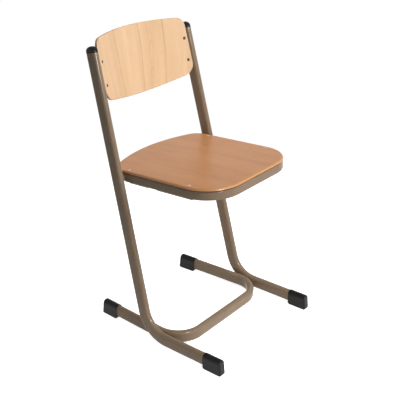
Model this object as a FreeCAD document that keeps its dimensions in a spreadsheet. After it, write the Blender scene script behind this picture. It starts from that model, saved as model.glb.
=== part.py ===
import FreeCAD, Part
import math
import os

import Sketcher
from FreeCAD import Placement, Rotation, Vector

# School chair on a runner frame, in millimetres. The front faces -Y, up is +Z and the sitter's
# right is -X. The origin lies on the floor under the middle of the chair.

SIZES = (
    # Frame tubes, all of one flat-oval section
    ("tube_depth", 33.5, "long axis of the flat-oval section"),
    ("tube_width", 18, "short axis of the flat-oval section"),
    ("tube_wall", 2, "wall of the frame tubes"),
    ("axis_height", 23, "floor to the axis of the runner tubes"),
    ("corner_back", 11, "middle of the chair to the corner of runner and upright"),
    ("runner_spacing", 383.6, "between the axes of the two runners"),
    ("runner_length", 234, "corner to the front end of the runner tube"),
    ("upright_length", 731, "corner to the top end of the upright tube"),
    ("upright_lean", 14, "degrees that the uprights lean back"),
    ("upright_splay", 1.3, "degrees that the uprights lean towards each other"),
    ("frame_bend", 77, "axis radius of the bend from runner to upright"),
    ("weld_gap", 0.5, "between tubes that are welded side by side"),
    ("support_forward", 97, "corner to the axis of the low cross bar in front of it"),
    ("support_back", 179.8, "corner to the rear ends of the support tube"),
    ("support_toe", 2.8, "degrees that the arms of the support tube close towards the back"),
    ("support_bend", 70, "axis radius of the two bends of the support tube"),
    # Plastic ends
    ("fit_gap", 0.3, "between a tube and the plastic part on it or in it"),
    ("foot_wall", 1.4, "side wall of a foot"),
    ("foot_cover", 1.3, "wall of a foot above the tube"),
    ("foot_end", 7, "end wall of a foot at its sole"),
    ("foot_nose_slope", 4, "how far the end of a foot leans back at its top"),
    ("foot_heel", 5, "bevel under the mouth of a foot"),
    ("foot_grip", 48.5, "length of tube held in a foot"),
    ("foot_round", 4, "rounding of a foot's nose"),
    ("foot_sole_round", 2.5, "rounding beside a foot's sole"),
    ("plug_head", 16, "height of a top plug above its tube"),
    ("plug_shoulder", 4, "height of a top plug at the front and back of its tube"),
    ("plug_round", 6, "rounding of a top plug's crown"),
    ("plug_stem", 22, "length of a top plug inside its tube"),
    # Seat
    ("seat_height", 461.5, "floor to the top of the seat's front edge"),
    ("seat_tilt", 3.1, "degrees that the seat falls towards the back"),
    ("seat_front", 198, "corner to the front edge of the seat, forwards"),
    ("seat_depth", 368.5, "front edge to the rear edge on the centre line"),
    ("seat_width", 341, "across the parallel sides"),
    ("seat_thickness", 8, "plywood of the seat"),
    ("seat_front_radius", 90, "front corners of the seat"),
    ("seat_rear_radius", 360, "bow of the seat's rear edge"),
    ("seat_corner_radius", 47, "rear corners of the seat"),
    ("seat_round_bottom", 2, "rounding of the seat's lower edge"),
    ("seat_edge_flat", 0.5, "flat of the seat's edge under its large upper rounding"),
    # Steel under the seat
    ("rail_height", 22, "height of the seat rail"),
    ("rail_width", 22, "width of the seat rail"),
    ("rail_wall", 2, "wall of the seat rail"),
    ("rail_round", 3, "outer corners of the seat rail's section"),
    ("rail_inset", 1, "seat edge to the outer face of the rail"),
    ("bar_height", 18, "height of the cross tube between the uprights"),
    ("bar_depth", 20, "cross tube, front to back"),
    ("pad_width", 14, "width of a stacking pad"),
    ("pad_thickness", 2.5, "thickness of a stacking pad"),
    ("pad_round", 1, "rounding of a stacking pad's lower edge"),
    ("front_pad_length", 116, "length of a front stacking pad"),
    ("front_pad_start", 74, "seat's front edge to the front stacking pad"),
    ("rear_pad_length", 68, "length of a rear stacking pad"),
    ("rear_pad_end", 9.8, "rear end of the rail to the rear stacking pad"),
    # Backrest
    ("backrest_rise", 42, "top end of the upright tubes to the top of the backrest"),
    ("backrest_height", 177.5, "height of the backrest on the middle plane"),
    ("backrest_thickness", 8, "plywood of the backrest"),
    ("backrest_hollow", 25, "front of the backrest behind the plane of the uprights' axes"),
    ("backrest_radius", 400, "hollow of the backrest's front, seen from above"),
    ("backrest_bow", 1000, "bow of its upper and lower edges"),
    ("backrest_top_corner", 25, "radius of the backrest's upper corners"),
    ("backrest_low_corner", 31, "radius of the backrest's lower corners"),
    ("backrest_round", 2, "rounding of the backrest's edges"),
    ("backrest_gap", 0.4, "backrest to the uprights beside it"),
    # Fastenings
    ("rivet_shank", 2.1, "radius of a rivet's shank"),
    ("rivet_head", 4.2, "radius of a rivet's head"),
    ("rivet_dome", 1.7, "height of a rivet's head"),
    ("rivet_bulb", 3.1, "radius of a rivet's closed end"),
    ("rivet_tail", 3.5, "length of a rivet's closed end"),
    ("hole_gap", 0.15, "rivet shank to its hole, all round"),
    ("seat_rivet_rear", 8.8, "rear end of the rail to the rear seat rivets"),
    ("seat_rivet_turn", 1, "degrees round the rail's bend to the front rivets"),
    ("backrest_rivet_up", 50, "bottom of the backrest to its lower rivets"),
    ("backrest_rivet_pitch", 59, "lower to upper backrest rivets"),
    ("backrest_rivet_edge", 11.5, "inner face of an upright to the backrest rivets beside it"),
    ("lug_height", 25, "height of a backrest lug"),
    ("lug_thickness", 3, "thickness of a backrest lug"),
    ("lug_edge", 8, "rivet to the free edge of its lug"),
    ("close_gap", 0.2, "between faces that lie against each other"),
)

ALIASES = [alias for alias, value, meaning in SIZES]
RIGHT = -1
LEFT = 1
SIDE_NAMES = {RIGHT: "right", LEFT: "left"}

doc = FreeCAD.newDocument("SchoolChair")
sheet = doc.addObject("Spreadsheet::Sheet", "Sizes")
for row, (alias, value, meaning) in enumerate(SIZES, start=1):
    sheet.set("A%d" % row, meaning)
    sheet.set("B%d" % row, str(value))
    sheet.setAlias("B%d" % row, alias)
doc.recompute()

nodes = []


def size(alias):
    """Value of one cell of the sheet."""
    return float(getattr(sheet, alias))


def expand(formula):
    """Formula of sheet aliases, written for an expression of another object."""
    words = []
    word = ""
    for letter in formula + " ":
        if letter.isalnum() or letter == "_":
            word += letter
            continue
        words.append("Sizes." + word if word in ALIASES else word)
        words.append(letter)
        word = ""
    return "".join(words).strip()


def number(formula):
    """Value of a formula of sheet aliases."""
    return float(sheet.evalExpression(expand(formula)))


def bind(thing, prop, formula):
    """Tie a property of an object to a formula of sheet aliases."""
    thing.setExpression(prop, expand(formula))


def dimension(sketch, formula, *constraint):
    """Driving dimension of a sketch, tied to a formula of sheet aliases."""
    index = sketch.addConstraint(Sketcher.Constraint(*constraint, number(formula)))
    bind(sketch, "Constraints[%d]" % index, formula)


def slope_dimension(sketch, formula, edge):
    """Driving direction of a straight edge, tied to a formula in degrees."""
    turn = math.radians(number(formula))
    index = sketch.addConstraint(Sketcher.Constraint("Angle", edge, turn))
    bind(sketch, "Constraints[%d]" % index, "(%s) * 1 deg" % formula)


def new_body(name):
    """Empty body of the document."""
    return doc.addObject("PartDesign::Body", name)


def new_sketch(body, role, name):
    """Sketch on one of the body's own origin planes."""
    sketch = body.newObject("Sketcher::SketchObject", name)
    plane = next(item for item in body.Origin.OriginFeatures if item.Role == role)
    sketch.AttachmentSupport = [(plane, "")]
    sketch.MapMode = "FlatFace"
    return sketch


def add_node(thing, label):
    """Register a finished object as one node of the chair."""
    thing.Label = label
    nodes.append(thing)
    return thing


def line(sketch, start, end):
    """Straight edge of a sketch."""
    return sketch.addGeometry(Part.LineSegment(Vector(*start, 0), Vector(*end, 0)))


def arc(sketch, centre, radius, first, last):
    """Arc of a sketch, anticlockwise from first to last, both in degrees."""
    circle = Part.Circle(Vector(*centre, 0), Vector(0, 0, 1), radius)
    return sketch.addGeometry(Part.ArcOfCircle(circle, math.radians(first), math.radians(last)))


def smooth(sketch, first, first_end, second, second_end):
    """Join two edges of a sketch end to end without a kink."""
    sketch.addConstraint(Sketcher.Constraint("Tangent", first, first_end, second, second_end))


def flat_oval(sketch, width, depth):
    """Flat-oval outline about the sketch's origin, with its long axis upright."""
    radius = number("(%s) / 2" % width)
    half = number("((%s) - (%s)) / 2" % (depth, width))
    top = arc(sketch, (0, half), radius, 0, 180)
    left = line(sketch, (-radius, half), (-radius, -half))
    bottom = arc(sketch, (0, -half), radius, 180, 360)
    right = line(sketch, (radius, -half), (radius, half))
    smooth(sketch, top, 2, left, 1)
    smooth(sketch, left, 2, bottom, 1)
    smooth(sketch, bottom, 2, right, 1)
    smooth(sketch, right, 2, top, 1)
    sketch.addConstraint(Sketcher.Constraint("Symmetric", top, 3, bottom, 3, -1, 1))
    sketch.addConstraint(Sketcher.Constraint("PointOnObject", top, 3, -2))
    dimension(sketch, "(%s) / 2" % width, "Radius", top)
    dimension(sketch, "((%s) - (%s)) / 2" % (depth, width), "DistanceY", -1, 1, top, 3)


def tube_section(body, name):
    """Hollow section of the frame tubes, across the body's Y axis."""
    sketch = new_sketch(body, "XZ_Plane", name)
    flat_oval(sketch, "tube_width", "tube_depth")
    flat_oval(sketch, "tube_width - 2 * tube_wall", "tube_depth - 2 * tube_wall")
    return sketch


def sweep(body, section, path):
    """Section carried along a path."""
    pipe = body.newObject("PartDesign::AdditivePipe", body.Name + "Sweep")
    pipe.Profile = section
    pipe.Spine = path
    return pipe


def pad(body, sketch, length, reverse=False, middle=False):
    """Sketch raised to a solid."""
    feature = body.newObject("PartDesign::Pad", sketch.Name + "Pad")
    feature.Profile = sketch
    bind(feature, "Length", length)
    feature.Reversed = reverse
    feature.Midplane = middle
    return feature


def round_edges(body, base, radius, wanted):
    """Fillet on the edges of a feature whose midpoint passes a test."""
    doc.recompute()
    names = []
    for index, edge in enumerate(base.Shape.Edges, start=1):
        middle = edge.valueAt((edge.FirstParameter + edge.LastParameter) / 2)
        if wanted(middle):
            names.append("Edge%d" % index)
    fillet = body.newObject("PartDesign::Fillet", base.Name + "Round")
    fillet.Base = (base, names)
    bind(fillet, "Radius", radius)
    return fillet


def near(value, target):
    """Whether two lengths agree within the model's tolerance."""
    return abs(value - target) < 1e-4


def cut_through(body, sketch, name):
    """Sketch cut away over the body's whole width."""
    doc.recompute()
    before = body.Tip.Shape.Volume
    cut = body.newObject("PartDesign::Pocket", body.Name + name)
    cut.Profile = sketch
    cut.Type = "ThroughAll"
    cut.Midplane = True
    doc.recompute()
    if near(cut.Shape.Volume, before):
        raise RuntimeError("%s took nothing away" % cut.Name)
    return cut


def polygon(sketch, corners):
    """Closed outline of straight edges through corners given as pairs of formulas."""
    values = [(number(x), number(y)) for x, y in corners]
    edges = []
    for index, (x, y) in enumerate(corners):
        edge = line(sketch, values[index], values[(index + 1) % len(values)])
        dimension(sketch, x, "DistanceX", -1, 1, edge, 1)
        dimension(sketch, y, "DistanceY", -1, 1, edge, 1)
        edges.append(edge)
    for index, edge in enumerate(edges):
        follower = edges[(index + 1) % len(edges)]
        sketch.addConstraint(Sketcher.Constraint("Coincident", edge, 2, follower, 1))


# Places on the frame

SIDE_TURN = size("upright_splay")
LEAN_BACK = Rotation(Vector(1, 0, 0), -size("upright_lean"))
SEAT_FALL = Rotation(Vector(1, 0, 0), -size("seat_tilt"))


def side_place(side):
    """Corner of one side frame, with its Y axis along the runner and Z square to it."""
    corner = Vector(side * size("runner_spacing") / 2, size("corner_back"), size("axis_height"))
    return Placement(corner, Rotation(Vector(0, 1, 0), -side * SIDE_TURN))


def upright_place(side, along):
    """Point of an upright's axis, with Z along the upright."""
    lean = Placement(Vector(0, 0, 0), LEAN_BACK)
    return side_place(side) * lean * Placement(Vector(0, 0, along), Rotation())


def upright_face(height):
    """Middle of the chair to the inner face of an upright, at a height along the lean."""
    splay = math.radians(size("upright_splay"))
    axis = size("runner_spacing") / 2 - height * math.tan(splay)
    return axis - size("tube_width") / 2 / math.cos(splay)


def backrest_place():
    """Middle plane of the chair at the corner, with Z along the lean of the uprights."""
    return Placement(Vector(0, size("corner_back"), size("axis_height")), LEAN_BACK)


def seat_place():
    """Top of the seat's front edge, with Y towards the back in the seat's plane."""
    front = Vector(0, size("corner_back") - size("seat_front"), size("seat_height"))
    return Placement(front, SEAT_FALL)


# Frame


def make_side_tube(side):
    """Runner and upright bent from one tube."""
    label = SIDE_NAMES[side] + "_side_tube"
    body = new_body(SIDE_NAMES[side].title() + "SideTube")
    path = new_sketch(body, "YZ_Plane", body.Name + "Path")
    lean = math.radians(size("upright_lean"))
    radius = size("frame_bend")
    tangent = radius * math.tan((math.pi / 2 - lean) / 2)
    up = (math.sin(lean), math.cos(lean))
    length = size("upright_length")
    runner = line(path, (-size("runner_length"), 0), (-tangent, 0))
    bend = arc(path, (-tangent, radius), radius, -90, -size("upright_lean"))
    upright = line(path, (tangent * up[0], tangent * up[1]), (length * up[0], length * up[1]))
    smooth(path, runner, 2, bend, 1)
    smooth(path, bend, 2, upright, 1)
    path.addConstraint(Sketcher.Constraint("PointOnObject", runner, 1, -1))
    path.addConstraint(Sketcher.Constraint("Horizontal", runner))
    path.addConstraint(Sketcher.Constraint("PointOnObject", -1, 1, upright))
    slope_dimension(path, "90 - upright_lean", upright)
    dimension(path, "frame_bend", "Radius", bend)
    dimension(path, "runner_length", "DistanceX", runner, 1, -1, 1)
    dimension(path, "upright_length", "Distance", -1, 1, upright, 2)
    section = tube_section(body, body.Name + "Section")
    bind(section, "AttachmentOffset.Base.z", "runner_length")
    sweep(body, section, path)
    body.Placement = side_place(side)
    return add_node(body, label)


ARM_SPACING = "runner_spacing - 2 * (tube_width + weld_gap)"


def support_arm():
    """Front end of the support tube's left arm, where its bend begins, as X and Y from the corner."""
    toe = math.radians(size("support_toe"))
    radius = size("support_bend")
    return number(ARM_SPACING) / 2, radius * (1 + math.sin(toe)) - size("support_forward")


def support_end():
    """Rear end of the support tube's left arm, as X and Y from the corner."""
    x, y = support_arm()
    back = size("support_back")
    return x - (back - y) * math.tan(math.radians(size("support_toe"))), back


def make_support_tube():
    """Rear arms and low cross bar, bent from one tube and welded inside the two runners."""
    body = new_body("SupportTube")
    path = new_sketch(body, "XY_Plane", "SupportTubePath")
    radius = size("support_bend")
    toe = size("support_toe")
    front = -size("support_forward")
    arm_x, arm_y = support_arm()
    end_x, end_y = support_end()
    hub = arm_x - radius * math.cos(math.radians(toe))
    right = line(path, (-end_x, end_y), (-arm_x, arm_y))
    right_bend = arc(path, (-hub, front + radius), radius, 180 - toe, 270)
    cross = line(path, (-hub, front), (hub, front))
    left_bend = arc(path, (hub, front + radius), radius, 270, 360 + toe)
    left = line(path, (arm_x, arm_y), (end_x, end_y))
    smooth(path, right, 2, right_bend, 1)
    smooth(path, right_bend, 2, cross, 1)
    smooth(path, cross, 2, left_bend, 1)
    smooth(path, left_bend, 2, left, 1)
    path.addConstraint(Sketcher.Constraint("Horizontal", cross))
    path.addConstraint(Sketcher.Constraint("Equal", right_bend, left_bend))
    slope_dimension(path, "-90 - support_toe", right)
    slope_dimension(path, "90 + support_toe", left)
    half = "(%s) / 2" % ARM_SPACING
    dimension(path, half, "DistanceX", right, 2, -1, 1)
    dimension(path, half, "DistanceX", -1, 1, left, 1)
    dimension(path, "support_bend", "Radius", right_bend)
    dimension(path, "support_forward", "DistanceY", cross, 1, -1, 1)
    dimension(path, "support_back", "DistanceY", -1, 1, right, 1)
    dimension(path, "support_back", "DistanceY", -1, 1, left, 2)
    section = tube_section(body, "SupportTubeSection")
    section.AttachmentOffset = Placement(Vector(-end_x, 0, -end_y), Rotation())
    sweep(body, section, path)
    body.Placement = Placement(
        Vector(0, size("corner_back"), size("axis_height")), Rotation()
    )
    return add_node(body, "rear_support_tube")


# Plastic ends


def crown_radius():
    """Radius of the arch over a top plug, from its shoulders to its crown."""
    rise = size("plug_head") - size("plug_shoulder")
    return ((size("tube_depth") / 2) ** 2 + rise**2) / (2 * rise)


def make_top_plug(side):
    """Plug with an arched crown in the open top of an upright."""
    body = new_body(SIDE_NAMES[side].title() + "TopPlug")
    head = new_sketch(body, "XY_Plane", body.Name + "Head")
    flat_oval(head, "tube_width", "tube_depth")
    pad(body, head, "plug_head")
    arch = new_sketch(body, "YZ_Plane", body.Name + "Arch")
    half = size("tube_depth") / 2
    low = size("plug_shoulder")
    high = size("plug_head")
    hub = high - crown_radius()
    first = math.degrees(math.atan2(low - hub, half))
    over = arc(arch, (0, hub), crown_radius(), first, 180 - first)
    left = line(arch, (-half, low), (-half, 2 * high))
    top = line(arch, (-half, 2 * high), (half, 2 * high))
    right = line(arch, (half, 2 * high), (half, low))
    ring = [over, left, top, right]
    for index, edge in enumerate(ring):
        follower = ring[(index + 1) % len(ring)]
        arch.addConstraint(Sketcher.Constraint("Coincident", edge, 2, follower, 1))
    for edge in (left, right):
        arch.addConstraint(Sketcher.Constraint("Vertical", edge))
    arch.addConstraint(Sketcher.Constraint("Horizontal", top))
    arch.addConstraint(Sketcher.Constraint("PointOnObject", over, 3, -2))
    rise = "(plug_head - plug_shoulder)"
    radius = "((tube_depth / 2) ^ 2 + %s ^ 2) / (2 * %s)" % (rise, rise)
    dimension(arch, "tube_depth / 2", "DistanceX", left, 1, -1, 1)
    dimension(arch, "tube_depth / 2", "DistanceX", -1, 1, right, 1)
    dimension(arch, "2 * plug_head", "DistanceY", -1, 1, top, 1)
    dimension(arch, radius, "Radius", over)
    dimension(arch, "plug_shoulder", "DistanceY", -1, 1, left, 1)
    crown = cut_through(body, arch, "Crown")

    def on_crown(point):
        return near(math.hypot(point.y, point.z - hub), crown_radius())

    round_edges(body, crown, "plug_round", on_crown)
    stem = new_sketch(body, "XY_Plane", body.Name + "Stem")
    inner = "2 * (tube_wall + fit_gap)"
    flat_oval(stem, "tube_width - " + inner, "tube_depth - " + inner)
    pad(body, stem, "plug_stem", reverse=True)
    body.Placement = upright_place(side, size("upright_length"))
    return add_node(body, SIDE_NAMES[side] + "_top_plug")


def shoe_outline(sketch, half_width, bottom, top, sole_round):
    """Upright outline with a round top, straight sides and a flat sole with rounded corners."""
    wide = number(half_width)
    low = number(bottom)
    high = number(top)
    corner = number(sole_round)
    sole = line(sketch, (corner - wide, low), (wide - corner, low))
    left_corner = arc(sketch, (wide - corner, low + corner), corner, 270, 360)
    left = line(sketch, (wide, low + corner), (wide, high - wide))
    over = arc(sketch, (0, high - wide), wide, 0, 180)
    right = line(sketch, (-wide, high - wide), (-wide, low + corner))
    right_corner = arc(sketch, (corner - wide, low + corner), corner, 180, 270)
    ring = [sole, left_corner, left, over, right, right_corner]
    for index, edge in enumerate(ring):
        smooth(sketch, edge, 2, ring[(index + 1) % len(ring)], 1)
    sketch.addConstraint(Sketcher.Constraint("Horizontal", sole))
    sketch.addConstraint(Sketcher.Constraint("Vertical", left))
    sketch.addConstraint(Sketcher.Constraint("Equal", left_corner, right_corner))
    sketch.addConstraint(Sketcher.Constraint("PointOnObject", over, 3, -2))
    dimension(sketch, sole_round, "Radius", left_corner)
    dimension(sketch, half_width, "Radius", over)
    dimension(sketch, "(%s) - (%s)" % (top, half_width), "DistanceY", -1, 1, over, 3)
    dimension(sketch, bottom, "DistanceY", -1, 1, sole, 1)


def rounded_box(sketch, half_width, bottom, top, radius):
    """Upright rectangle with round corners, centred on the sketch's vertical axis."""
    wide = number(half_width)
    low = number(bottom)
    high = number(top)
    corner = number(radius)
    sides = [
        line(sketch, (corner - wide, low), (wide - corner, low)),
        line(sketch, (wide, low + corner), (wide, high - corner)),
        line(sketch, (wide - corner, high), (corner - wide, high)),
        line(sketch, (-wide, high - corner), (-wide, low + corner)),
    ]
    corners = [
        arc(sketch, (wide - corner, low + corner), corner, 270, 360),
        arc(sketch, (wide - corner, high - corner), corner, 0, 90),
        arc(sketch, (corner - wide, high - corner), corner, 90, 180),
        arc(sketch, (corner - wide, low + corner), corner, 180, 270),
    ]
    for index in range(4):
        smooth(sketch, sides[index], 2, corners[index], 1)
        smooth(sketch, corners[index], 2, sides[(index + 1) % 4], 1)
    for index in (0, 2):
        sketch.addConstraint(Sketcher.Constraint("Horizontal", sides[index]))
        sketch.addConstraint(Sketcher.Constraint("Vertical", sides[index + 1]))
    for index in (1, 2, 3):
        sketch.addConstraint(Sketcher.Constraint("Equal", corners[0], corners[index]))
    dimension(sketch, radius, "Radius", corners[0])
    dimension(sketch, half_width, "DistanceX", -1, 1, sides[1], 1)
    dimension(sketch, half_width, "DistanceX", sides[3], 1, -1, 1)
    dimension(sketch, bottom, "DistanceY", -1, 1, sides[0], 1)
    dimension(sketch, top, "DistanceY", -1, 1, sides[2], 1)


def square_section(sketch, width, height):
    """Hollow section of the tubes under the seat, about the sketch's origin."""
    for step, corner in (("0", "rail_round"), ("rail_wall", "rail_round - rail_wall / 2")):
        half_width = "%s / 2 - %s" % (width, step)
        half_height = "%s / 2 - %s" % (height, step)
        rounded_box(sketch, half_width, "-(%s)" % half_height, half_height, corner)


def cut_wedge(body, name, corners):
    """Cut a triangle of the body's YZ plane away over its whole width."""
    sketch = new_sketch(body, "YZ_Plane", body.Name + name)
    polygon(sketch, corners)
    return cut_through(body, sketch, name + "Cut")


def make_foot(label, place):
    """Plastic shoe over a tube end, with its flat sole on the floor and its mouth towards +Y."""
    body = new_body("".join(word.title() for word in label.split("_")))
    outline = new_sketch(body, "XZ_Plane", body.Name + "Outline")
    bind(outline, "AttachmentOffset.Base.z", "foot_end")
    shoe_outline(
        outline,
        "tube_width / 2 + fit_gap + foot_wall",
        "-axis_height",
        "tube_depth / 2 + fit_gap + foot_cover",
        "foot_sole_round",
    )
    pad(body, outline, "foot_end + foot_grip", reverse=True)
    top = "(tube_depth / 2 + fit_gap + foot_cover)"
    nose = cut_wedge(
        body,
        "Nose",
        (
            ("-foot_end", "-axis_height"),
            ("-foot_end + foot_nose_slope", top),
            ("-foot_end - foot_nose_slope", top),
        ),
    )
    lean = size("foot_nose_slope") / (size("axis_height") + number(top))

    def on_nose(point):
        return near(point.y, lean * (point.z + size("axis_height")) - size("foot_end"))

    round_edges(body, nose, "foot_round", on_nose)
    cut_wedge(
        body,
        "Heel",
        (
            ("foot_grip", "-axis_height"),
            ("foot_grip", "-axis_height + foot_heel"),
            ("foot_grip - foot_heel", "-axis_height"),
        ),
    )
    mouth = new_sketch(body, "XZ_Plane", body.Name + "Mouth")
    flat_oval(mouth, "tube_width + 2 * fit_gap", "tube_depth + 2 * fit_gap")
    socket = body.newObject("PartDesign::Pocket", body.Name + "Socket")
    socket.Profile = mouth
    bind(socket, "Length", "foot_grip + foot_end")
    body.Placement = place
    return add_node(body, label)


def make_feet(side):
    """Front foot on the runner and rear foot on the support tube's arm."""
    name = SIDE_NAMES[side]
    front = Vector(
        side * size("runner_spacing") / 2,
        size("corner_back") - size("runner_length"),
        size("axis_height"),
    )
    end_x, end_y = support_end()
    rear = Vector(side * end_x, size("corner_back") + end_y, size("axis_height"))
    turn = 180 + side * size("support_toe")
    make_foot(name + "_front_foot", Placement(front, Rotation()))
    make_foot(name + "_rear_foot", Placement(rear, Rotation(Vector(0, 0, 1), turn)))


# Rivets and their holes


def make_rivet(name, grip, place):
    """Blind rivet: domed head at the place's origin, shank along -Z, closed end behind the grip."""
    head = doc.addObject("Part::Sphere", name + "Head")
    sphere = "(rivet_head ^ 2 + rivet_dome ^ 2) / (2 * rivet_dome)"
    bind(head, "Radius", sphere)
    bind(head, "Angle1", "asin(1 - rivet_dome / (%s))" % sphere)
    head.Placement = Placement(Vector(0, 0, size("rivet_dome") - number(sphere)), Rotation())
    shank = doc.addObject("Part::Cylinder", name + "Shank")
    bind(shank, "Radius", "rivet_shank")
    bind(shank, "Height", "(%s) + rivet_tail" % grip)
    shank.Placement = Placement(Vector(0, 0, -number(grip) - size("rivet_tail")), Rotation())
    bulb = doc.addObject("Part::Cylinder", name + "Bulb")
    bind(bulb, "Radius", "rivet_bulb")
    bind(bulb, "Height", "rivet_tail")
    bulb.Placement = Placement(Vector(0, 0, -number(grip) - size("rivet_tail")), Rotation())
    rivet = doc.addObject("Part::MultiFuse", name)
    rivet.Shapes = [head, shank, bulb]
    rivet.Placement = place
    return rivet


def drill(name, base, places, depth):
    """Object with a rivet hole along -Z of each place."""
    holes = []
    for index, place in enumerate(places, start=1):
        hole = doc.addObject("Part::Cylinder", "%sHole%d" % (name, index))
        bind(hole, "Radius", "rivet_shank + hole_gap")
        bind(hole, "Height", "2 * (%s)" % depth)
        hole.Placement = place * Placement(Vector(0, 0, -number(depth)), Rotation())
        holes.append(hole)
    tool = doc.addObject("Part::Compound", name + "Holes")
    tool.Links = holes
    cut = doc.addObject("Part::Cut", name)
    cut.Base = base
    cut.Tool = tool
    return cut


def group(label, rivets):
    """Node of like fasteners, each a solid of its own."""
    compound = doc.addObject("Part::Compound", label.title().replace("_", ""))
    compound.Links = rivets
    return add_node(compound, label)


# Seat


RAIL_HALF = "seat_width / 2 - rail_inset - rail_width / 2"
RAIL_FRONT = "rail_inset + rail_width / 2"
RAIL_BEND = "seat_front_radius - rail_inset - rail_width / 2"
SEAT_GRIP = "seat_thickness + rail_wall"


def bar_place():
    """Middle of the cross tube, at mid-height of the rail, with Z along the uprights' lean."""
    rail_middle = Vector(0, 0, -size("seat_thickness") - size("rail_height") / 2)
    start = seat_place().multVec(rail_middle)
    along = seat_place().Rotation.multVec(Vector(0, 1, 0))
    ahead = LEAN_BACK.multVec(Vector(0, -1, 0))
    corner = Vector(0, size("corner_back"), size("axis_height"))
    reach = (corner - start).dot(ahead) / along.dot(ahead)
    return Placement(start + along * reach, LEAN_BACK)


def rail_end():
    """Seat's front edge to the rear end of the rail, at the front of the cross tube."""
    front = bar_place().multVec(Vector(0, -size("bar_depth") / 2, 0))
    return seat_place().inverse().multVec(front).y


def seat_rivet_places():
    """Head seats of the four seat rivets, on the rail's axis."""
    half = number(RAIL_HALF)
    radius = number(RAIL_BEND)
    turn = math.radians(size("seat_rivet_turn"))
    front_x = half - radius + radius * math.cos(turn)
    front_y = number(RAIL_FRONT) + radius - radius * math.sin(turn)
    spots = []
    for side in (RIGHT, LEFT):
        spots.append(Vector(side * half, rail_end() - size("seat_rivet_rear"), 0))
        spots.append(Vector(side * front_x, front_y, 0))
    return [seat_place() * Placement(spot, Rotation()) for spot in spots]


def make_seat_board():
    """Plywood seat: straight front and sides, round front corners and a bowed rear edge."""
    body = new_body("SeatPlywood")
    outline = new_sketch(body, "XY_Plane", "SeatOutline")
    half = size("seat_width") / 2
    depth = size("seat_depth")
    front_radius = size("seat_front_radius")
    rear_radius = size("seat_rear_radius")
    corner = size("seat_corner_radius")
    bow_y = depth - rear_radius
    reach = rear_radius - corner
    corner_y = bow_y + math.sqrt(reach**2 - (half - corner) ** 2)
    swing = math.degrees(math.atan2(corner_y - bow_y, half - corner))
    front = line(outline, (front_radius - half, 0), (half - front_radius, 0))
    front_left = arc(outline, (half - front_radius, front_radius), front_radius, 270, 360)
    left = line(outline, (half, front_radius), (half, corner_y))
    rear_left = arc(outline, (half - corner, corner_y), corner, 0, swing)
    rear = arc(outline, (0, bow_y), rear_radius, swing, 180 - swing)
    rear_right = arc(outline, (corner - half, corner_y), corner, 180 - swing, 180)
    right = line(outline, (-half, corner_y), (-half, front_radius))
    front_right = arc(outline, (front_radius - half, front_radius), front_radius, 180, 270)
    ring = [front, front_left, left, rear_left, rear, rear_right, right, front_right]
    for index, edge in enumerate(ring):
        smooth(outline, edge, 2, ring[(index + 1) % len(ring)], 1)
    outline.addConstraint(Sketcher.Constraint("PointOnObject", front, 1, -1))
    outline.addConstraint(Sketcher.Constraint("Horizontal", front))
    for edge in (left, right):
        outline.addConstraint(Sketcher.Constraint("Vertical", edge))
    outline.addConstraint(Sketcher.Constraint("Equal", front_left, front_right))
    outline.addConstraint(Sketcher.Constraint("Equal", rear_left, rear_right))
    outline.addConstraint(Sketcher.Constraint("PointOnObject", rear, 3, -2))
    dimension(outline, "seat_width / 2", "DistanceX", -1, 1, left, 1)
    dimension(outline, "seat_width / 2", "DistanceX", right, 1, -1, 1)
    dimension(outline, "seat_front_radius", "Radius", front_left)
    dimension(outline, "seat_corner_radius", "Radius", rear_left)
    dimension(outline, "seat_rear_radius", "Radius", rear)
    dimension(outline, "seat_depth - seat_rear_radius", "DistanceY", -1, 1, rear, 3)
    sheet_of_wood = pad(body, outline, "seat_thickness", reverse=True)
    round_top = "seat_thickness - seat_round_bottom - seat_edge_flat"
    upper = round_edges(body, sheet_of_wood, round_top, lambda point: near(point.z, 0))
    under = -size("seat_thickness")
    round_edges(body, upper, "seat_round_bottom", lambda point: near(point.z, under))
    body.Placement = seat_place()
    board = drill("SeatBoard", body, seat_rivet_places(), SEAT_GRIP)
    return add_node(board, "seat_board")


def make_cross_tube():
    """Square tube between the inner faces of the uprights, which the seat rail is welded to."""
    place = bar_place()
    height = backrest_place().inverse().multVec(place.Base).z
    half = upright_face(height + size("bar_height") / 2) - size("close_gap")
    body = new_body("CrossTube")
    section = new_sketch(body, "YZ_Plane", "CrossTubeSection")
    square_section(section, "bar_depth", "bar_height")
    pad(body, section, "2 * %r" % half, middle=True)
    body.Placement = place
    return add_node(body, "seat_cross_tube")


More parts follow.
